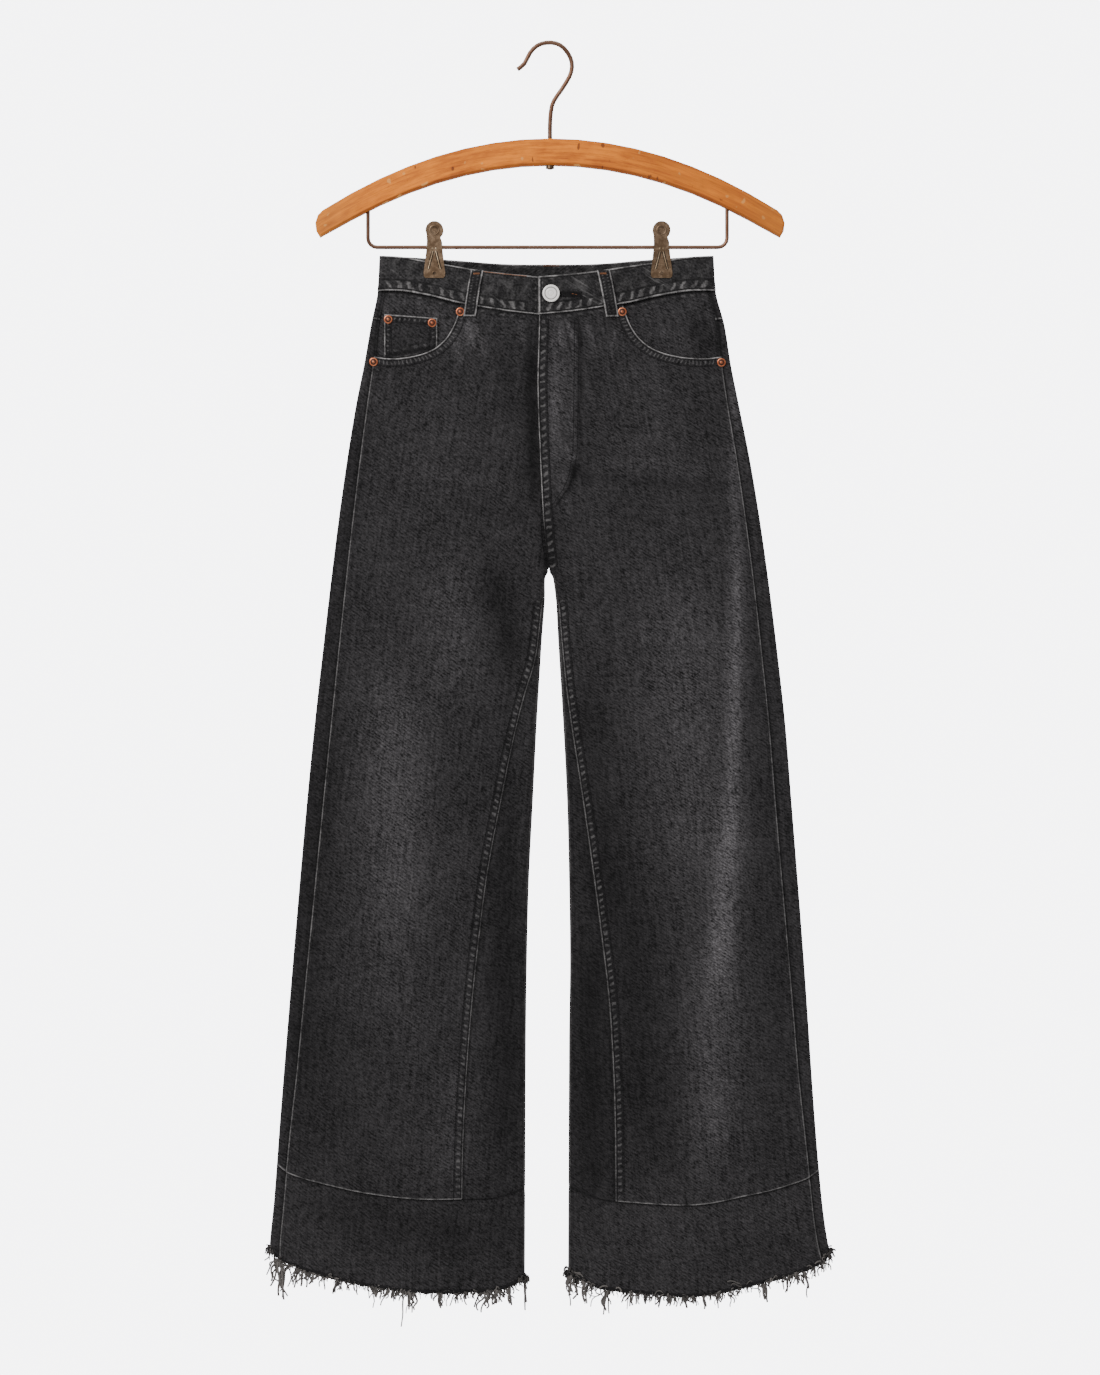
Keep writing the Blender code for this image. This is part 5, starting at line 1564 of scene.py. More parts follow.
# The line of stitches that curves round the fly's end, as x and drop.
FLY_CURVE = (
    (28.8, 63), (28.4, 100), (27.6, 170), (26.8, 196), (25.2, 207), (22.8, 219), (18.0, 232),
    (11.0, 242), (5.0, 251),
)


# The long loose threads of the front hems: the x, the length below the edge, and the lean.
LONG_THREADS = (
    (-279, 36, 0.1), (-276, 47, 0.22), (-273, 44, 0.2), (-270, 30, -0.35), (-258, 24, -0.35),
    (-250, 20, -0.45), (-246, 18, -0.25), (-232, 14, -0.7), (-210, 15, -0.3), (-178, 14, 0.5),
    (-140, 19, 0.15), (-134, 20, -0.1), (-110, 17, 0.2), (-66, 25, 0.1), (-62, 24, -0.15),
    (-55, 19, -0.2), (-43, 20, 0.2), (-25, 30, 0.05), (-22, 26, -0.15), (20, 32, 0.1),
    (22, 27, -0.05), (34, 24, 0.15), (54, 28, 0.05), (58, 20, -0.3), (77, 16, 0.35),
    (120, 12, -0.4), (151, 13, 0.3), (212, 20, 0.1), (240, 21, -0.2), (252, 18, 0.25),
    (274, 22, 0.15), (281, 32, -0.05), (282, 26, 0.1),
)


@dataclass
class FrayedEdge:
    """The raw edge below a hem band: a rolled lip, knots at its corners, and loose threads."""

    name: str
    node: str
    band: HemBand
    seed: int
    step: float = 1.3
    lip: float = 2.3
    least_lip: float = 1.5
    knot: float = 1.8
    knot_reach: float = 4.5
    curls: int = 34
    clumps: float = 4.0
    hairs: float = 0.9
    sunk: float = 1.2

    def build(self, dress: "Dress") -> Piece:
        """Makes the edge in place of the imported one."""
        random = np.random.default_rng(self.seed)
        placed = self.band.place()
        around, drop = placed.around[-1], placed.drop[-1] + self.sunk
        half = self.band.half
        line = FORM.middle(half, around, drop)
        run = np.concatenate([[0.0], np.cumsum(np.linalg.norm(np.diff(line, axis=0), axis=1))])
        at = np.linspace(0, run[-1], int(run[-1] / self.step))
        around, drop = np.interp(at, run, around), np.interp(at, run, drop)
        line, out = FORM.middle(half, around, drop), FORM.outward(half, around, drop)
        parts = [self.rolled(line, out, self.corner(around, at), random)]
        parts += self.hair(line, out, random)
        parts += self.knots(line, out, self.corner(around, at), random)
        parts += self.threads(line, out, random)
        return self.join(parts, dress)

    def corner(self, around: Array, at: Array) -> Array:
        """1 at the corners of the hem, falling to 0 beside them."""
        fold = at[np.abs(around).argmin()] if around.min() < 0 < around.max() else -FAR_AWAY
        away = np.minimum(np.abs(at - fold), at[-1] - at)
        return np.exp(-((away / self.knot_reach) ** 2))

    def rolled(self, line: Array, out: Array, corner: Array, random: Any) -> tuple:
        """The lip, uneven along its length."""
        count = len(line)
        rough = random.normal(0, 0.4, (count + 7) // 4)
        lumps = np.interp(np.arange(count), np.arange(0, 4 * len(rough), 4), rough)
        radius = np.maximum(self.least_lip, self.lip + lumps + self.knot * corner)
        points, faces = tubes(line[None], radius[None], out[None])
        return points + random.normal(0, 0.32, points.shape), faces, np.zeros(len(points))

    def strands(
        self, root: Array, out: Array, lean: Array, length: Array, radius: float, stations: int,
        random: Any,
    ) -> tuple[Array, Array]:
        """Curly tubes that hang from points of the edge.

        Args:
            root: where each strand starts.
            out: the direction that faces out of the garment there.
            lean: the strand's angle from straight down, in the plane of the cloth.
            length: its length.
            radius: its radius at the root.
            stations: how many points each has.
            random: the source of chance.

        Returns:
            The tubes' points and faces.
        """
        count = len(root)
        t = np.linspace(0, 1, stations)
        phase, waves = random.uniform(0, ROUND, (2, count, 1)), random.uniform(0.5, 1.5, (count, 1))
        swing = random.normal(0, 0.40, (count, 1)) * np.sin(phase[0] + t * waves * ROUND)
        angle = lean[:, None] * (1.15 - 0.7 * t) + swing * 1.6
        step = length[:, None] / (stations - 1)
        aside = np.cumsum(np.sin(angle) * step, axis=1)
        down = np.cumsum(np.cos(angle) * step, axis=1)
        along = np.cross(out, [0.0, 0.0, 1.0])
        along /= np.maximum(np.linalg.norm(along, axis=1, keepdims=True), 1e-6)
        off = 0.9 + t * random.uniform(0, 2.5, (count, 1)) + np.sin(phase[1] + t * 4) * 0.6
        paths = root[:, None] + along[:, None] * aside[..., None] + out[:, None] * off[..., None]
        paths = paths + down[..., None] * np.array([0.0, 0.0, -1.0])
        radii = radius * (1 - 0.3 * t) * random.uniform(0.7, 1.3, (count, 1))
        return tubes(paths, radii, out[:, None])

    def hair(self, line: Array, out: Array, random: Any) -> list[tuple]:
        """Short fuzz all along the lip."""
        count = int(len(line) * self.hairs * self.step)
        pick = random.integers(0, len(line), count)
        root = line[pick] + random.normal(0, 0.8, (count, 3))
        lean, length = random.normal(0, 0.85, count), random.uniform(2.0, 5.5, count)
        points, faces = self.strands(root, out[pick], lean, length, 0.40, 4, random)
        return [(points, faces, np.full(len(points), 0.45))]

    def knots(self, line: Array, out: Array, corner: Array, random: Any) -> list[tuple]:
        """Short thick curls that ball up at the corners of the hem."""
        count = self.curls
        pick = random.choice(len(line), count, p=corner / corner.sum())
        root = line[pick] + random.normal(0, 1.4, (count, 3)) + [0.0, 0.0, 2.0]
        lean, length = random.uniform(-2.0, 2.0, count), random.uniform(3.5, 8.0, count)
        points, faces = self.strands(root, out[pick], lean, length, 1.0, 6, random)
        shade = np.repeat(random.uniform(0.0, 0.6, count), len(points) // count)
        return [(points, faces, shade)]

    def threads(self, line: Array, out: Array, random: Any) -> list[tuple]:
        """Clumps of loose yarns, and the long ones."""
        parts = []

        def tuft(
            pick: int, size: int, loose: float, lean: float, spread: float, length: Callable,
            look: tuple[float, int], pale: float,
        ) -> None:
            """Adds strands that hang together.

            Args:
                pick: the point of the edge that they hang from.
                size: how many there are.
                loose: how far apart they start.
                lean: their angle from straight down.
                spread: how much their angles differ.
                length: their lengths, for a number of them.
                look: their radius and the number of points of each.
                pale: the least paleness of their thread.
            """
            root = line[pick] + random.normal(0, loose, (size, 3))
            leans = lean + random.normal(0, spread, size)
            normal = np.repeat(out[pick][None], size, axis=0)
            points, faces = self.strands(root, normal, leans, length(size), *look, random)
            parts.append((points, faces, np.full(len(points), random.uniform(pale, 1.0))))

        count = int(len(line) * self.step / self.clumps)
        for pick, lean in zip(random.integers(0, len(line), count), random.normal(0, 0.75, count)):
            size = random.integers(1, 4)
            short = lambda n: random.uniform(4, 9) + random.exponential(3.2, n)
            tuft(pick, size, 0.7, lean, 0.35, short, (0.85, 7), 0.6)
        for pick, length, lean in self.long_threads(line, random):
            size = random.integers(2, 4)
            long = lambda n: length * random.uniform(0.75, 1.0, n)
            tuft(pick, size, 0.8, lean, 0.10, long, (1.25, 12), 0.7)
        return parts

    def long_threads(self, line: Array, random: Any) -> list[tuple[int, float, float]]:
        """Where the long threads hang, how long they are, and which way they lean."""
        if self.band.face == BACK:
            places = random.integers(0, len(line), 9)
            return [(int(p), random.uniform(12, 24), random.normal(0, 0.3)) for p in places]
        low, high = line[:, 0].min() - 14, line[:, 0].max() + 2
        return [
            (int(np.abs(line[:, 0] - x).argmin()), length, -lean)
            for x, length, lean in LONG_THREADS
            if low < x < high
        ]

    def join(self, parts: list[tuple], dress: "Dress") -> Piece:
        """One piece of all the parts."""
        offsets = np.cumsum([0, *(len(part[0]) for part in parts)])
        points = np.concatenate([part[0] for part in parts])
        faces = np.concatenate([part[1] + start for part, start in zip(parts, offsets)])
        obj = new_mesh(self.name, points * MM, faces)
        add_values(obj, pale=np.concatenate([part[2] for part in parts]))
        dress.put(obj, Finish.FRAY)
        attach(obj, "root")
        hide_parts(self.node)
        LOG.info("%s: %d faces", self.name, len(faces))
        return obj


BUTTON_AT = (1.0, -WAIST_BELOW_ORIGIN - 38.0)
# How far the fly's two rows of stitches lie apart.
FLY_ROWS_APART = 4.2
# The buttonhole's ends and drop, how far its rows lie beside it, and half the length of a tack.
BUTTONHOLE = ((10.0, 33.5), 38.5)
BUTTONHOLE_ROW, TACK = 1.7, 3.6
# Tan stitches: beside the button, a part of the waistband's top, and inside at the middle.
TAN_STITCHES = ((20.0, 37.6), (27.0, 38.9))
TAN_ROW = (0.62, 0.925)
INSIDE_STITCHES = ((-8.0, 8.0), (9.0, 8.0))
# Drops of the corners of the waistband's tab.
TAB_DROPS = (20.0, 58.0)
# Where the part of a hem band's seam begins that crosses the wedge, of its 41 points.
WEDGE_PART = 36


class Value:
    """A number, colour or vector in a shader, with arithmetic."""

    def __init__(self, tree: "Tree", socket: bpy.types.NodeSocket) -> None:
        """Holds a node's output."""
        self.tree, self.socket = tree, socket

    def maths(self, operation: str, *others: Any, **settings: Any) -> "Value":
        """The result of a Math node."""
        settings["operation"] = operation
        return self.tree.node("ShaderNodeMath", settings, self, *others)

    def __add__(self, other: Any) -> "Value":
        """Sum."""
        return self.maths("ADD", other)

    def __sub__(self, other: Any) -> "Value":
        """Difference."""
        return self.maths("SUBTRACT", other)

    def __mul__(self, other: Any) -> "Value":
        """Product."""
        return self.maths("MULTIPLY", other)

    def __rsub__(self, other: Any) -> "Value":
        """Difference from a number."""
        return self.tree.node("ShaderNodeMath", {"operation": "SUBTRACT"}, other, self)

    __radd__ = __add__
    __rmul__ = __mul__

    def clamp(self) -> "Value":
        """The value held between 0 and 1."""
        return self.maths("ADD", 0.0, use_clamp=True)

    def step(self, low: float, high: float) -> "Value":
        """A smooth rise from 0 at low to 1 at high."""
        settings = {"interpolation_type": "SMOOTHSTEP"}
        return self.tree.node("ShaderNodeMapRange", settings, self, low, high)


class Tree:
    """The shader of one material."""

    def __init__(self, name: str) -> None:
        """Starts a material with a bare Principled shader."""
        self.material = bpy.data.materials.new(name)
        self.material.use_nodes = True
        self.nodes = self.material.node_tree.nodes
        self.shader = self.nodes["Principled BSDF"]

    def node(self, kind: str, settings: dict, *values: Any, output: int = 0, **named: Any) -> Value:
        """Adds a node.

        Args:
            kind: the node's type.
            settings: its properties.
            values: what goes into its inputs, in their order.
            output: which of its outputs to return.
            named: what goes into inputs by name.

        Returns:
            The chosen output.
        """
        made = self.nodes.new(kind)
        for key, value in settings.items():
            setattr(made, key, value)
        for key, value in [*enumerate(values), *named.items()]:
            self.plug(made.inputs[key if isinstance(key, int) else key.replace("_", " ")], value)
        return Value(self, made.outputs[output])

    def plug(self, socket: bpy.types.NodeSocket, value: Any) -> None:
        """Connects an output to an input, or sets the input's constant."""
        if isinstance(value, Value):
            self.material.node_tree.links.new(value.socket, socket)
        else:
            socket.default_value = value

    def set(self, **values: Any) -> None:
        """Sets the shader's inputs by name."""
        for key, value in values.items():
            self.plug(self.shader.inputs[key.replace("_", " ")], value)

    def flat(self) -> Value:
        """Places on the flat cloth, in millimetres."""
        return self.stretch(self.node("ShaderNodeUVMap", {"uv_map": "cloth"}), METRE)

    def place(self) -> Value:
        """Places in the object, in millimetres."""
        return self.stretch(self.node("ShaderNodeTexCoord", {}, output=3), METRE)

    def stretch(self, place: Value, scale: tuple) -> Value:
        """A place multiplied along each axis."""
        return self.node("ShaderNodeVectorMath", {"operation": "MULTIPLY"}, place, scale)

    def parts(self, place: Value) -> tuple[Value, Value, Value]:
        """The three numbers of a place."""
        made = self.node("ShaderNodeSeparateXYZ", {}, place)
        return tuple(Value(self, output) for output in made.socket.node.outputs)

    def noise(self, place: Value, scale: float, detail: float = 2.0, rough: float = 0.5) -> Value:
        """Soft noise round 0.5."""
        return self.node(
            "ShaderNodeTexNoise", {}, Vector=place, Scale=scale, Detail=detail, Roughness=rough
        )

    def mix(self, share: Any, low: Any, high: Any) -> Value:
        """A colour between two others."""
        made = self.nodes.new("ShaderNodeMix")
        made.data_type = "RGBA"
        for key, value in ((0, share), (6, low), (7, high)):
            self.plug(made.inputs[key], value)
        return Value(self, made.outputs[2])

    def shade(self, colour: Any, amount: Any) -> Value:
        """A colour multiplied by a number."""
        colour = colour if isinstance(colour, Value) else colour[:3]
        return self.node("ShaderNodeVectorMath", {"operation": "SCALE"}, colour, Scale=amount)

    def read(self, name: str) -> Value:
        """A number stored at the mesh's points."""
        return self.node("ShaderNodeAttribute", {"attribute_name": name}, output=2)

    def bump(self, height: Value, distance: float, strength: float) -> None:
        """Shades the surface as if it had this height."""
        made = {"Strength": strength, "Distance": distance, "Height": height}
        self.set(Normal=self.node("ShaderNodeBump", {}, **made))


@dataclass(frozen=True)
class DenimLook:
    """Washed black denim: a charcoal twill, mottled and streaked, pale where it is worn, with
    painted highlight and painted shade in broad patches and painted shade along its seams.
    """

    base: tuple = (0.0262, 0.0246, 0.0252, 1)
    worn: tuple = (0.36, 0.345, 0.335, 1)
    # The colour of the painted shade along sunk seams, between puckers and along stitch rows.
    dark: tuple = (0.0042, 0.0040, 0.0042, 1)
    grains: float = 3.1
    wale_pitch: float = 2.6

    def build(self, name: str) -> bpy.types.Material:
        """Makes the material."""
        tree = Tree(name)
        flat = tree.flat()
        mottle = tree.noise(flat, 0.085, 4, 0.66)
        grain = tree.noise(flat, 0.50, 3, 0.72)
        wobble = tree.noise(flat, 0.12, 2, 0.5)
        wale, dash, scratch = self.twill(tree, flat, grain)
        tone = self.tone(tree, flat, mottle, grain) + (dash - 0.5) * self.grains + wale * 0.16
        # The patches' wear, painted highlight and painted shade scale the tone.
        fade = tree.read("fade")
        tone = tone * (1.0 + fade * (0.55 + grain * 0.9 + wale * 0.16))
        edge, rung, groove = self.seam(tree, flat, wobble, mottle)
        patchy = mottle.step(0.42, 0.74) * 0.7 + scratch * 1.0 + (grain - 0.42) * 0.9
        rubbed = tree.read("worn") * patchy.maths("MAXIMUM", 0.08)
        rubbed = (rubbed + edge * (0.35 + grain * 0.9) + rung * (0.12 + grain * 0.35)).clamp()
        base = tree.shade(self.base, tone.maths("MAXIMUM", 0.22))
        faded = tree.mix(rubbed, base, tree.shade(self.worn, 0.45 + grain * 1.1))
        # Painted shade: the shadow along sunk seams and the troughs of the puckers.
        deep = (tree.read("deep") * (0.5 + mottle) + groove * 0.55).clamp()
        tree.set(
            Base_Color=tree.mix(deep, faded, self.dark),
            Roughness=0.92,
            Specular_IOR_Level=0.12,
            Sheen_Weight=0.03,
            Sheen_Roughness=0.5,
        )
        height = grain * 0.5 + dash * 0.6 + mottle * 0.6 + wale * 0.1 + rung * 0.7 - groove * 0.4
        tree.bump(height, 0.0011, 0.9)
        return tree.material

    def tone(self, tree: "Tree", flat: Value, mottle: Value, grain: Value) -> Value:
        """Clouds, streaks down and across, grain and pale specks, round 1."""
        cloud = tree.noise(flat, 0.014, 2, 0.6)
        slub = tree.noise(tree.stretch(flat, (0.36, 0.02, 1)), 1.0, 3, 0.6)
        weft = tree.noise(tree.stretch(flat, (0.03, 0.42, 1)), 1.0, 2, 0.6)
        speck = tree.noise(flat, 0.55, 1, 0.5).step(0.70, 0.80)
        tone = 1.0 + (cloud - 0.5) * 0.8 + (mottle - 0.5) * 1.3 + (slub - 0.5) * 1.5
        return tone + (weft - 0.5) * 0.4 + (grain - 0.5) * self.grains + speck * 1.2

    def twill(self, tree: "Tree", flat: Value, grain: Value) -> tuple[Value, Value, Value]:
        """The slanted ribs of the weave, its broken dashes, and scratches along it."""
        across, down, _ = tree.parts(flat)
        beside, along = across * 0.56 + down * 0.83, across * 0.83 - down * 0.56
        dashes = tree.node("ShaderNodeCombineXYZ", {}, beside * 0.58, along * 0.17, 0.0)
        lines = tree.node("ShaderNodeCombineXYZ", {}, beside * 0.22, along * 0.018, 0.0)
        wale = ((beside + grain * 5.0) * (2 * math.pi / self.wale_pitch)).maths("SINE")
        dash, scratch = tree.noise(dashes, 1.0, 2, 0.6), tree.noise(lines, 1.0, 3, 0.6)
        return wale, dash, scratch.step(0.58, 0.72)

    def seam(self, tree: "Tree", flat: Value, wobble: Value, mottle: Value) -> tuple:
        """A seam's pale edge, the pale rungs of its puckers, and painted shade round them: in the
        troughs between the rungs and along the stitch lines.
        """
        away = tree.read("away") + (wobble - 0.5) * 1.2
        band, ladder = tree.read("band"), tree.read("ladder")
        edge = (1.0 - away.step(0.4, 1.8)) * tree.read("edge") * (mottle.step(0.30, 0.62) + 0.15)
        inner, outer = away.step(2.0, 3.0), (away - band).step(-2.4, -1.2)
        inside = inner * (1.0 - outer) * ladder
        phase = tree.read("beat") + (wobble - 0.5) * 0.95 + away * 0.05
        wave = (phase * (2 * math.pi)).maths("SINE").step(-0.15, 0.95)
        rung = wave * inside * (mottle.step(0.34, 0.60) * 0.75 + 0.25)
        # Painted shade: thin dark lines along the stitch rows, and the troughs between the rungs.
        rims = away.step(1.0, 1.7) * (1.0 - inner) + outer * (1.0 - (away - band).step(-0.4, 0.8))
        return edge, rung, inside * (1.0 - wave) * 0.8 + rims * ladder * 1.2


@dataclass(frozen=True)
class ThreadLook:
    """Cotton thread, twisted and a little uneven in colour."""

    colour: tuple
    spread: float = 0.5
    fine: float = 0.6

    def build(self, name: str) -> bpy.types.Material:
        """Makes the material."""
        tree = Tree(name)
        place = tree.place()
        uneven = tree.noise(place, 0.22, 2)
        fibre = tree.noise(place, self.fine, 3, 0.7)
        tone = 1.0 + (uneven - 0.5) * self.spread * 2 + (fibre - 0.5) * self.spread
        tree.set(Base_Color=tree.shade(self.colour, tone), Roughness=0.9, Specular_IOR_Level=0.15)
        tree.bump(fibre, 0.0003, 0.4)
        return tree.material


@dataclass(frozen=True)
class FrayLook:
    """Frayed denim: a dark rolled edge with grey-brown threads."""

    dark: tuple = (0.0150, 0.0142, 0.0146, 1)
    thread: tuple = (0.150, 0.138, 0.128, 1)

    def build(self, name: str) -> bpy.types.Material:
        """Makes the material."""
        tree = Tree(name)
        place = tree.place()
        cloud, fibre = tree.noise(place, 0.2, 2), tree.noise(place, 1.3, 3, 0.7)
        pale = (tree.read("pale") * (0.55 + cloud) + fibre.step(0.60, 0.75) * 0.15).clamp()
        colour = tree.shade(tree.mix(pale, self.dark, self.thread), 0.35 + fibre * 1.3)
        tree.set(Base_Color=colour, Roughness=0.95, Specular_IOR_Level=0.1)
        tree.bump(fibre, 0.0006, 0.7)
        return tree.material


@dataclass(frozen=True)
class WoodLook:
    """Varnished honey-brown wood, its grain along the arm, rubbed in places, with painted shade
    along its lower edge.
    """

    pale: tuple = (0.88, 0.238, 0.006, 1)
    deep: tuple = (0.40, 0.082, 0.003, 1)

    def build(self, name: str) -> bpy.types.Material:
        """Makes the material."""
        tree = Tree(name)
        place = tree.place()
        x, y, z = tree.parts(place)
        arched = z + x * x * (1 / 720)
        bent = tree.node("ShaderNodeCombineXYZ", {}, x * 0.02, y * 0.25, arched * 0.25)
        grain = tree.noise(bent, 1.0, 6, 0.62)
        fibre = tree.noise(tree.stretch(bent, (1.6, 7, 7)), 1.0, 3, 0.6)
        pore = tree.noise(tree.stretch(bent, (3.0, 22, 22)), 1.0, 2, 0.5).step(0.60, 0.72)
        cloud = tree.noise(place, 0.012, 2)
        flame = tree.noise(tree.stretch(bent, (3.5, 0.6, 0.6)), 1.0, 3, 0.6)
        tone = (grain - 0.5) * 2.4 + (fibre - 0.5) * 1.0 + (cloud - 0.5) * 0.8
        tone = (tone + (flame - 0.5) * 1.3 + 0.62).clamp()
        colour = tree.mix(tone, self.deep, self.pale)
        # Painted shade towards the lower edge of the arm, mixed with the dark of the pores.
        lower = (arched * -1.0).step(116.6, 119.2)
        colour = tree.mix((lower * 0.6 + pore * 0.35).clamp(), colour, (0.16, 0.030, 0.004, 1))
        nicks = tree.noise(place, 0.11, 1).step(0.70, 0.74) * 0.5
        colour = tree.mix(nicks, colour, (0.80, 0.42, 0.12, 1))
        dents = tree.noise(tree.stretch(place, (0.16, 0.1, 0.07)), 1.0, 1).step(0.74, 0.77) * 0.75
        colour = tree.mix(dents, colour, (0.10, 0.020, 0.003, 1))
        ends = (x.maths("ABSOLUTE")).step(170, 232) * 0.3
        colour = tree.mix(ends, colour, (0.60, 0.23, 0.030, 1))
        shaded = x.step(20, 150) * (0.30 + (flame - 0.5) * 1.1)
        colour = tree.mix(shaded.clamp(), colour, (0.22, 0.050, 0.004, 1))
        tree.set(
            Base_Color=colour,
            Roughness=0.5 + (fibre - 0.5) * 0.2,
            Specular_IOR_Level=0.25,
            Coat_Weight=0.06,
            Coat_Roughness=0.3,
        )
        tree.bump(fibre * 0.4 - pore * 0.6, 0.0003, 0.5)
        return tree.material


@dataclass(frozen=True)
class MetalLook:
    """Plated metal, dulled and rubbed bright in places; with lit_from_above, also painted brighter
    on the faces that look up, as highlight.
    """

    colour: tuple
    rubbed: tuple
    roughness: float
    stain: float = 0.5
    lit_from_above: float = 0.0
    rays: Optional[tuple[float, float]] = None
    metallic: float = 0.9

    def build(self, name: str) -> bpy.types.Material:
        """Makes the material."""
        tree = Tree(name)
        place = tree.place()
        cloud = tree.noise(place, 0.16, 4, 0.6)
        fine = tree.noise(place, 1.1, 3, 0.6)
        wear = (cloud * 0.8 + fine * 0.35).step(0.46, 0.86)
        # Painted highlight: faces that look up take the rubbed colour, as if lit from above.
        if self.lit_from_above:
            normal = tree.parts(tree.node("ShaderNodeNewGeometry", {}, output=1))[2]
            wear = (wear * (1.0 - self.lit_from_above) + normal.step(0.1, 0.9)).clamp()
        colour = tree.mix(wear, self.colour, self.rubbed)
        stained = (tree.noise(place, 0.45, 3).step(0.50, 0.80) * self.stain).clamp()
        if self.rays:
            stained = (stained + self.ray(tree, place) * 0.3).clamp()
        colour = tree.mix(stained, colour, tree.shade(self.colour, 0.35))
        # Painted shade in the recesses of turned pieces and round the clip's ribs: darker and less
        # metallic.
        hollow = (tree.read("hollow") * (0.7 + cloud * 0.5)).clamp()
        tree.set(
            Base_Color=tree.mix(hollow, colour, tree.shade(self.colour, 0.07)),
            Metallic=self.metallic - hollow * 0.4,
            Roughness=self.roughness + (fine - 0.5) * 0.2,
        )
        tree.bump(fine, 0.0001, 0.2)
        return tree.material

    def ray(self, tree: "Tree", place: Value) -> Value:
        """Fine lines that radiate from the piece's centre."""
        x, _, z = tree.parts(place)
        angle = (z - self.rays[1]).maths("ARCTAN2", x - self.rays[0])
        return (angle * 26.0).maths("SINE").step(0.3, 1.0)


class Finish(Enum):
    """The finishes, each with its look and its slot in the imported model."""

    DENIM = ("denim", DenimLook())
    THREAD = ("denim", ThreadLook((0.0125, 0.0115, 0.0120, 1), 0.4))
    TAN_THREAD = ("denim", ThreadLook((0.30, 0.125, 0.055, 1), 0.5))
    FRAY = ("fray", FrayLook())
    WOOD = ("wood", WoodLook())
    BRONZE = ("bronze", MetalLook((0.092, 0.056, 0.031, 1), (0.25, 0.17, 0.108, 1), 0.40, 0.30))
    # A brighter bronze for the clips' raised ribs and dots: rubbed wear, and painted highlight on
    # the raised parts.
    RUBBED = ("bronze", MetalLook((0.17, 0.115, 0.066, 1), (0.44, 0.34, 0.23, 1), 0.30, 0.20))
    # The wires are painted brighter on their upper faces, as highlight.
    WIRE = ("bronze", MetalLook((0.13, 0.062, 0.036, 1), (0.58, 0.37, 0.26, 1), 0.34, 0.15, 0.8))
    COPPER = ("copper", MetalLook((0.36, 0.092, 0.038, 1), (0.72, 0.30, 0.15, 1), 0.36, 0.5))
    NICKEL = ("nickel", MetalLook(
        (0.93, 0.89, 0.83, 1), (1.0, 0.97, 0.92, 1), 0.34, 0.12, 0.0, BUTTON_AT, 0.05
    ))


class Dress:
    """Puts finishes on pieces, making each one's material once."""

    def __init__(self) -> None:
        """Starts with no materials."""
        self.made: dict[Finish, bpy.types.Material] = {}

    def put(self, obj: Piece, finish: Finish) -> None:
        """Gives a piece its material; the finish's slot name is read but not used."""
        slot, look = finish.value
        if finish not in self.made:
            self.made[finish] = look.build(finish.name.lower())
        obj.data.materials.clear()
        obj.data.materials.append(self.made[finish])


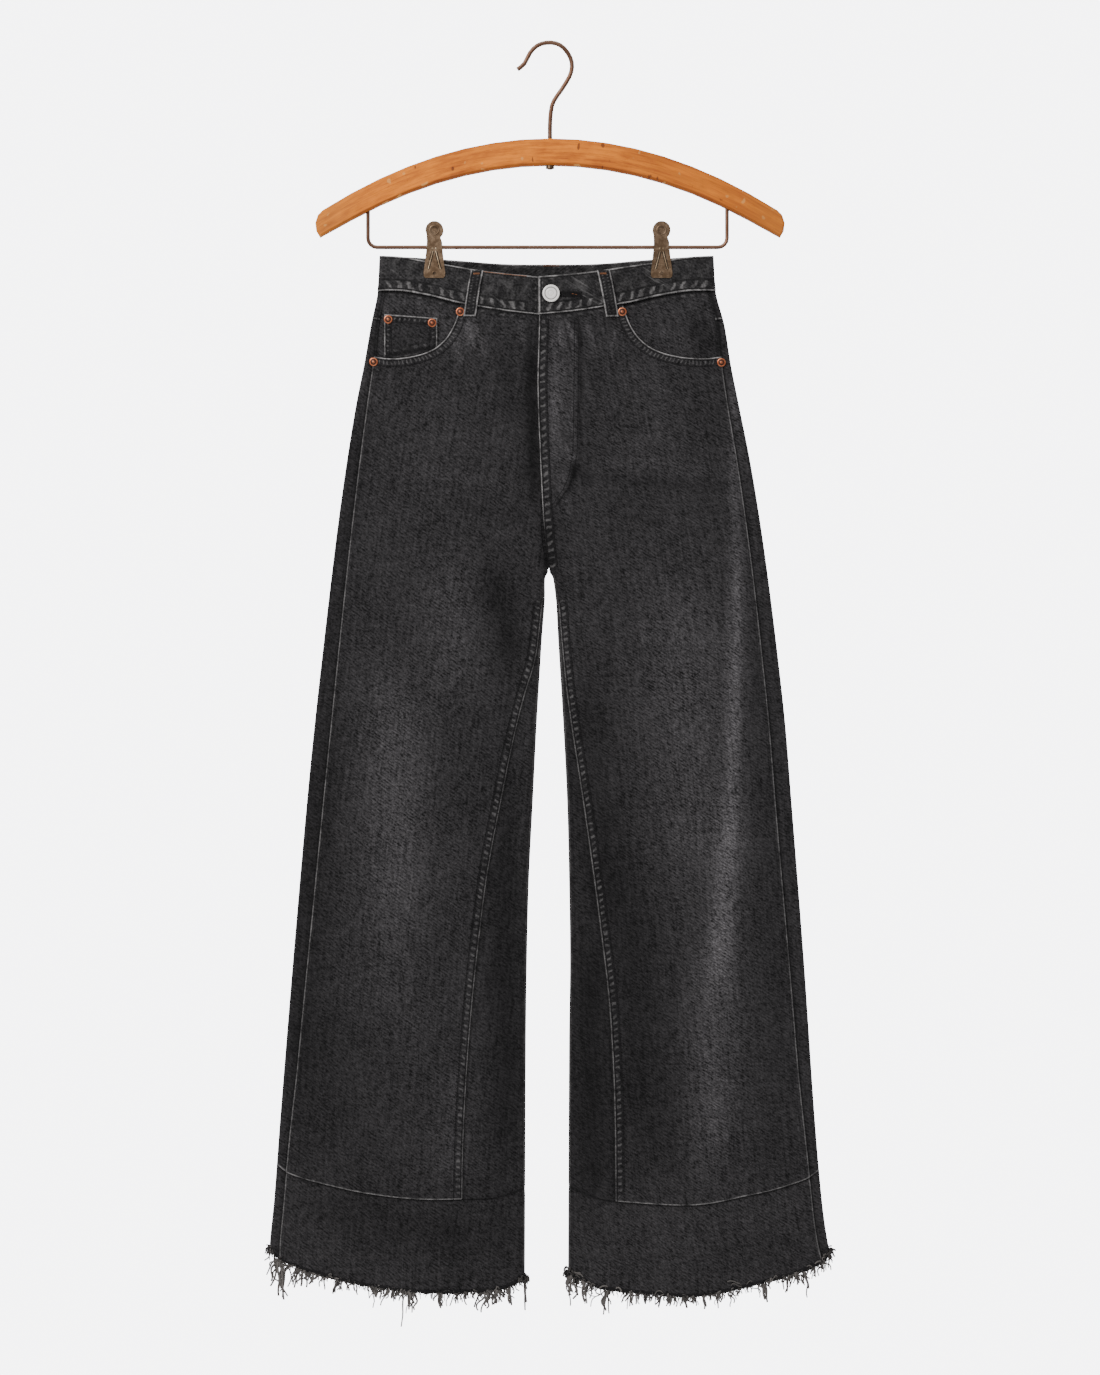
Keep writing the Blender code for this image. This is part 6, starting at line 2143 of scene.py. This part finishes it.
class Garment:
    """The culottes: all the cut pieces."""

    def __init__(self, dress: Dress) -> None:
        """Takes the finishes."""
        self.dress = dress
        self.dark = Stitching("thread_dark", Finish.THREAD)
        self.tan = Stitching("thread_tan", Finish.TAN_THREAD)

    def build(self) -> None:
        """Makes every piece."""
        for half in (RIGHT, LEFT):
            for panel in self.half_panels(half):
                self.add(panel)
        band = self.waistband()
        self.add(band)
        self.add(self.coin_pocket())
        loops = [self.belt_loop(number, loop) for number, loop in enumerate(LOOPS, 1)]
        for loop in loops:
            self.add(loop)
        self.details(band, loops)
        self.dark.build(self.dress)
        self.tan.build(self.dress)

    def add(self, panel: Panel) -> None:
        """Builds a piece, sews its seams and records its cut."""
        obj = panel.build(self.dress)
        self.dark.seams(panel, panel.place())
        if isinstance(panel, HemBand):
            where = f"{face_name(panel.face)}_{side_name(panel.half)}"
            seed = 11 + 2 * panel.half + panel.face
            edge = FrayedEdge(f"frayed_{where}", f"fringe_{where}", panel, seed)
            edge.build(self.dress)
        panel.record()

    def details(self, band: Panel, loops: Sequence["BeltLoop"]) -> None:
        """Sews the fly's curve, the buttonhole, the tacks and the tan rows of the waistband."""
        leg = FrontLeg("fly", (), half=LEFT)
        curve = np.array(FLY_CURVE, float)
        self.dark.row(Row(leg, FRONT, curve))
        self.dark.row(Row(leg, FRONT, curve - [FLY_ROWS_APART, 0.0], 2.8))
        (left, right), drop = BUTTONHOLE
        for side in (-BUTTONHOLE_ROW, BUTTONHOLE_ROW):
            hole = np.array([(left, drop + side), (right, drop + side)])
            self.dark.row(Row(band, FRONT, hole, 0.8, 2.4, across=True))
        self.dark.row(Row(band, FRONT, np.array([(left - 1, drop), (right + 0.5, drop)]), 2.0, 2.6))
        self.tan.row(Row(band, FRONT, np.array(TAN_STITCHES), 3.0, 2.8))
        share = np.linspace(*TAN_ROW, 40)
        top = WAIST_DIPS[FRONT, "top"](share)
        x = -(FORM.outer_edge(RIGHT, top) - share * FORM.width(RIGHT, FRONT, top))
        self.tan.row(Row(band, FRONT, np.stack([x, top + 0.8], axis=-1), 3.0, 2.7))
        self.tan.row(Row(band, BACK, np.array(INSIDE_STITCHES), 2.4, 2.2, below=True))
        for loop in loops:
            (top, low), place = loop.ends(), loop.loop
            for thread, x, drop in (
                (self.tan, place.top_x, top + 3.4), (self.dark, place.low_x, low - 2.4)
            ):
                tack = np.array([(x - TACK, drop), (x + TACK, drop)])
                thread.row(Row(loop, place.face, tack, 0.9, 1.8, across=True))

    def half_panels(self, half: int) -> Iterable[Panel]:
        """The pieces of one half."""
        side, kind = side_name(half), SeamKind
        seams = partial(SEAMS.seams, half)
        inner = seams((kind.INNER_FOLD, FRONT), (kind.INNER_FOLD, BACK))
        front = seams(
            (kind.POCKET, FRONT), (kind.SIDE, FRONT), (kind.INSEAM, FRONT),
            (kind.HEM_BAND, FRONT), (kind.WAIST_UNDER, FRONT),
        ) + inner
        if half == LEFT:
            front += seams((kind.FLY, FRONT))
        nodes = [tuple(f"{face}_{side}_{part}" for part in SECTIONS) for face in ("front", "back")]
        yield FrontLeg(f"leg_front_{side}", nodes[0], seams=front, half=half)
        seat = kind.SEAT if half == LEFT else kind.SEAT_UNDER
        under = (kind.SIDE_UNDER, FRONT), (seat, BACK)
        back = seams(
            *under, (kind.YOKE_UNDER, BACK), (kind.YOKE_UNDER, FRONT), (kind.INSEAM, BACK),
            (kind.HEM_BAND, BACK), (kind.HEM_BAND, FRONT),
        ) + inner
        yield BackLeg(f"leg_back_{side}", nodes[1], seams=back, half=half)
        waist = (kind.WAIST_UNDER, BACK), (kind.WAIST_UNDER, FRONT)
        top = seams(*under, (kind.YOKE, BACK), (kind.YOKE, FRONT), *waist)
        yield BackYoke(f"yoke_{side}", (f"back_yoke_{side}",), seams=top, half=half)
        facing = seams(under[0], waist[1])
        node = (f"pocket_facing_{side}",)
        yield Facing(f"facing_{side}", node, seams=facing, half=half, tone=0.12)
        for face in FACES:
            where = f"{face_name(face)}_{side}"
            band = seams(
                (kind.SIDE if face == FRONT else kind.SIDE_UNDER, FRONT), (kind.BAND_UNDER, face),
                (kind.BAND_UNDER, -face), (kind.HEM_RAW, face),
            ) + inner
            node = (f"hem_band_{where}",)
            yield HemBand(f"band_{where}", node, seams=band, half=half, face=face)
            wedge = seams((kind.GUSSET_UNDER, face))
            band_end = SEAMS.band(half, face)[WEDGE_PART:]
            wedge += [SeamLine(kind.BAND_UNDER, face, band_end), *inner]
            node = (f"gusset_{where}",)
            yield Wedge(f"wedge_{where}", node, seams=wedge, half=half, face=face, tone=-0.1)
        pocket = BackPocket(f"seat_pocket_{side}", (f"back_pocket_{side}",), half=half, face=BACK)
        pocket.seams = [SeamLine(kind.PATCH, BACK, pocket.rim())]
        yield pocket

    def waistband(self) -> Panel:
        """The waistband."""
        seams = []
        for half in HALVES:
            for face in FACES:
                seams += SEAMS.seams(half, (SeamKind.WAIST_LOW, face), (SeamKind.WAIST_TOP, face))
        x, top, low = SEAMS.centre(LEFT, FRONT)[0, 0], *TAB_DROPS
        seams.append(SeamLine(SeamKind.TAB, FRONT, np.array([(x, top), (x, low)])))
        return Waistband("waist_strip", ("waistband",), seams=seams, wear=0.15, tone=-0.30)

    def coin_pocket(self) -> Panel:
        """The coin pocket."""
        (outer, outer_top, outer_low), (inner, inner_top, inner_low) = COIN_EDGES
        rim = np.array(
            [(outer, outer_low), (outer, outer_top), (inner, inner_top), (inner, inner_low)]
        )
        seams = [
            SeamLine(SeamKind.PATCH, FRONT, rim),
            SeamLine(SeamKind.WAIST_UNDER, FRONT, rim[[0, 3]]),
        ]
        return CoinPocket("small_pocket", ("coin_pocket",), seams=seams, tone=-0.12)

    def belt_loop(self, number: int, loop: LoopPlace) -> Panel:
        """One belt loop."""
        node = (f"belt_loop_{number}",)
        panel = BeltLoop(f"loop_{number}", node, face=loop.face, loop=loop, wear=0.03, tone=-0.3)
        panel.seams = [SeamLine(SeamKind.LOOP, loop.face, panel.rim())]
        return panel


class Ring(NamedTuple):
    """A step of a turned face: how far in from the last one, how much higher, and how dark it is
    painted, as shade in a recess.
    """

    inset: float
    rise: float
    hollow: float = 0.0


RIVET_RINGS = (
    Ring(0.5, 0.2), Ring(0.6, 0.0), Ring(0.3, -0.6, 1.0), Ring(1.2, 0.0, 1.0), Ring(0.4, 0.3, 0.3),
)
BUTTON_RINGS = (
    Ring(0.7, 0.35), Ring(1.1, 0.05), Ring(0.5, -0.5, 0.9), Ring(0.5, 0.0, 0.9), Ring(0.4, 0.4),
    Ring(2.4, 0.15), Ring(0.3, -0.2, 0.4), Ring(0.4, 0.15),
)
CUP_RINGS = (
    Ring(0.7, 0.35), Ring(0.7, 0.0), Ring(0.7, -0.6, 0.8), Ring(1.0, -0.5, 1.0),
    Ring(0.9, 0.1, 0.4),
)
DOT_RINGS = (Ring(0.25, 0.2), Ring(0.5, 0.15))
PIT_RINGS = (Ring(0.35, 0.1), Ring(0.3, -0.25, 0.9), Ring(0.4, -0.05, 0.9))


class Smith:
    """Makes the small metal pieces."""

    LEAST_HEIGHT = 0.9
    STUD_SHARE = 0.8
    SMOOTH_BELOW = math.radians(50)

    def __init__(self, dress: Dress) -> None:
        """Takes the finishes."""
        self.dress = dress

    def cylinder(self, vertices: int, radius: float, depth: float) -> Piece:
        """A new cylinder round the origin, in metres, with nothing else selected."""
        bpy.ops.object.select_all(action="DESELECT")
        bpy.ops.mesh.primitive_cylinder_add(
            vertices=vertices, radius=radius, depth=depth, location=(0, 0, 0), calc_uvs=False
        )
        return bpy.context.object

    def turned(self, place: tuple, radius: float, height: float, rings: Sequence[Ring]) -> Any:
        """A turned disc that faces the front.

        Args:
            place: the middle of its back, in millimetres.
            radius: its radius.
            height: its height without its rings.
            rings: the steps of its face, from the rim inwards.

        Returns:
            The disc.
        """
        obj = self.cylinder(40, radius * MM, height * MM)
        # The painted shade of each ring, by its radius.
        dark = [(radius - 0.01, 0.0)]
        bpy.ops.object.mode_set(mode="EDIT")
        bpy.ops.mesh.select_mode(type="FACE")
        work = bmesh.from_edit_mesh(obj.data)
        for face in work.faces:
            face.select_set(face.normal.z > 0.9)
        bmesh.update_edit_mesh(obj.data)
        for ring in rings:
            bpy.ops.mesh.inset(thickness=ring.inset * MM, depth=ring.rise * MM)
            dark.append((dark[-1][0] - ring.inset, ring.hollow))
        bpy.ops.object.mode_set(mode="OBJECT")
        points = np.array([vertex.co[:] for vertex in obj.data.vertices])
        distance = np.hypot(points[:, 0], points[:, 1]) / MM
        radii, hollow = np.array(dark[::-1]).T
        front = points[:, 2] > 0
        add_values(obj, hollow=np.where(front, np.interp(distance, radii, hollow), 0.0))
        bpy.ops.object.shade_smooth_by_angle(angle=self.SMOOTH_BELOW)
        obj.data.transform(Matrix.Translation((0, 0, height * MM / 2)))
        obj.data.transform(Matrix.Rotation(math.pi / 2, 4, "X"))
        obj.data.transform(Matrix.Translation(Vector(place) * MM))
        return obj

    def rib(self, start: tuple, end: tuple, radius: float, dark: float = 0.0) -> Any:
        """A raised rib with rounded ends between two points, with painted shade as dark as in a
        hollow where dark is 1.
        """
        start, end = Vector(start) * MM, Vector(end) * MM
        way = end - start
        obj = self.cylinder(12, radius * MM, way.length)
        bevel = obj.modifiers.new("rounding", "BEVEL")
        bevel.width, bevel.segments = radius * 0.7 * MM, 3
        bevel.limit_method = "ANGLE"
        bpy.ops.object.modifier_apply(modifier="rounding")
        bpy.ops.object.shade_smooth_by_angle(angle=self.SMOOTH_BELOW)
        add_values(obj, hollow=np.full(len(obj.data.vertices), dark))
        obj.data.transform(way.to_track_quat("Z", "Y").to_matrix().to_4x4())
        obj.data.transform(Matrix.Translation((start + end) / 2))
        return obj

    def finish(self, name: str, parts: Sequence[Any], finish: Finish, *nodes: str) -> None:
        """Joins parts into one named piece, in place of its nodes, and gives it its finish."""
        bpy.ops.object.select_all(action="DESELECT")
        for part in parts:
            part.select_set(True)
        bpy.context.view_layer.objects.active = parts[0]
        if len(parts) > 1:
            bpy.ops.object.join()
        obj = bpy.context.object
        obj.name = name
        self.dress.put(obj, finish)
        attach(obj, "root")
        if nodes:
            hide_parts(*nodes)
        LOG.info("%s: %d faces", name, len(obj.data.polygons))

    def stud(self, name: str, node: str, finish: Finish, radius: float, rings: tuple) -> None:
        """A rivet or button in the place of a packed one."""
        low, high = (Vector(corner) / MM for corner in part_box(node))
        middle = (low + high) / 2
        lift = max(0.0, sum(ring.rise for ring in rings))
        height = max(self.LEAST_HEIGHT, (high.y - low.y) * self.STUD_SHARE - lift)
        place = (middle.x, low.y + height + lift, middle.z)
        self.finish(name, [self.turned(place, radius, height, rings)], finish, node)

    def clip_marks(self, half: int) -> None:
        """The cup, the ribs, the dots and the pit that are pressed into a clip's front, with a wide
        dark rib behind each raised one as painted shade round it.
        """
        low, high = (Vector(corner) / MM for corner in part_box(f"clip_front_{side_name(half)}"))
        x, front, top = (low.x + high.x) / 2, low.y, high.z
        pressed = [
            self.turned((x, front + 0.5, top - 9.0), 5.4, 0.6, CUP_RINGS),
            self.turned((x - 0.3, front + 0.2, top - 52.0), 1.9, 0.4, PIT_RINGS),
        ]
        raised = []
        for side in (-1, 1):
            dot = (x + side * 1.7, front + 0.3, top - 27.4)
            raised.append(self.turned(dot, 1.15, 0.6, DOT_RINGS))
            ends = [(x + side * 1.3, top - 29.6), (x + side * 6.2, top - 48.4)]
            groove, rib = ([(end[0], front + deep, end[1]) for end in ends] for deep in (1.0, 0.1))
            # A wide dark rib behind each raised one: painted shade round it.
            pressed.append(self.rib(*groove, 1.7, 1.0))
            raised.append(self.rib(*rib, 0.9))
        self.finish(f"clip_pressing_{side_name(half)}", pressed, Finish.BRONZE)
        # The raised ribs and dots: brighter bronze, for rubbed wear and painted highlight.
        self.finish(f"clip_ribs_{side_name(half)}", raised, Finish.RUBBED)


class Hanger:
    """The wooden arm with its wires and clips, and the garment's metal trims."""

    ROUNDING = 0.4 * MM
    RIVETS = 6
    RIVET_RADIUS = 4.2
    BUTTON_RADIUS = 8.5

    def __init__(self, dress: Dress) -> None:
        """Takes the finishes."""
        self.dress = dress

    def build(self) -> None:
        """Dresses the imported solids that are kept, and makes the metal details."""
        finishes = {
            "hanger_arm": Finish.WOOD,
            "hook": Finish.WIRE,
            "hook_nut": Finish.BRONZE,
            "trouser_bar": Finish.WIRE,
            "clip": Finish.BRONZE,
        }
        for name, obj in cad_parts.items():
            for start, finish in finishes.items():
                if name.startswith(start):
                    self.dress.put(obj, finish)
                    self.round_edges(obj)
        smith = Smith(self.dress)
        for number in range(1, self.RIVETS + 1):
            name = f"stud_{number}"
            smith.stud(name, f"rivet_{number}", Finish.COPPER, self.RIVET_RADIUS, RIVET_RINGS)
        smith.stud("jeans_button", "button", Finish.NICKEL, self.BUTTON_RADIUS, BUTTON_RINGS)
        for half in (RIGHT, LEFT):
            smith.clip_marks(half)

    def round_edges(self, obj: Piece) -> None:
        """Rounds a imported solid's sharp edges a little, so that they catch the light."""
        bevel = obj.modifiers.new("rounding", "BEVEL")
        bevel.width, bevel.segments = self.ROUNDING, 2
        bevel.limit_method, bevel.angle_limit = "ANGLE", math.radians(50)


@dataclass(frozen=True)
class Studio:
    """The plain floor, the soft light and the camera."""

    eye: tuple = (0.0, -4.0, -0.6425)
    view_height: float = 1.375
    floor_level: float = -2.0
    floor_radius: float = 3.5
    sky_seen: float = 6.5
    sky_light: float = 0.8
    lamp_at: tuple = (-1.3, -2.6, 1.0)
    lamp_aim: tuple = (0.0, 0.0, -0.6)
    lamp_size: float = 1.6
    lamp_power: float = 60.0

    def build(self) -> None:
        """Sets the stage."""
        self.floor()
        self.light()
        self.camera()

    def floor(self) -> None:
        """A plain pale disc."""
        bpy.ops.mesh.primitive_circle_add(
            vertices=96, radius=self.floor_radius, fill_type="NGON", location=(0, 0, 0)
        )
        floor = bpy.context.object
        floor.name = "floor"
        floor.data.transform(Matrix.Translation((0, 0, self.floor_level)))
        tree = Tree("floor")
        tree.set(Base_Color=(0.92, 0.92, 0.92, 1), Roughness=0.9)
        floor.data.materials.append(tree.material)
        floor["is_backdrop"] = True

    def light(self) -> None:
        """A nearly white sky and one large soft lamp."""
        world = bpy.data.worlds.new("studio")
        world.use_nodes = True
        nodes, links = world.node_tree.nodes, world.node_tree.links
        sky = nodes["Background"]
        sky.inputs["Color"].default_value = (0.97, 0.97, 1.0, 1)
        path = nodes.new("ShaderNodeLightPath")
        level = nodes.new("ShaderNodeMapRange")
        level.inputs["To Min"].default_value = self.sky_light
        level.inputs["To Max"].default_value = self.sky_seen
        links.new(path.outputs["Is Camera Ray"], level.inputs["Value"])
        links.new(level.outputs["Result"], sky.inputs["Strength"])
        bpy.context.scene.world = world
        data = bpy.data.lights.new("key", "AREA")
        data.shape, data.size, data.energy = "DISK", self.lamp_size, self.lamp_power
        key = bpy.data.objects.new("key", data)
        key.location = self.lamp_at
        aim = Vector(self.lamp_aim) - key.location
        key.rotation_euler = aim.to_track_quat("-Z", "Y").to_euler()
        bpy.context.scene.collection.objects.link(key)
        key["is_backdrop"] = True

    def camera(self) -> None:
        """A camera square to the front, at a distance."""
        data = bpy.data.cameras.new("camera")
        data.sensor_fit = "VERTICAL"
        data.sensor_height = 24.0
        data.lens = data.sensor_height * -self.eye[1] / self.view_height
        camera = bpy.data.objects.new("camera", data)
        camera.location = self.eye
        camera.rotation_euler = (math.pi / 2, 0, 0)
        bpy.context.scene.collection.objects.link(camera)
        bpy.context.scene.camera = camera


def main() -> None:
    """Builds the dressed garment and its stage."""
    logging.basicConfig(level=logging.INFO, format="%(name)s: %(message)s")
    dress = Dress()
    Garment(dress).build()
    Hanger(dress).build()
    Studio().build()
    boxes = {"cad": CAD_BOX, "scene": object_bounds()}
    plain = {key: [[float(v) for v in corner] for corner in box] for key, box in boxes.items()}


if __name__ == "__main__":
    main()
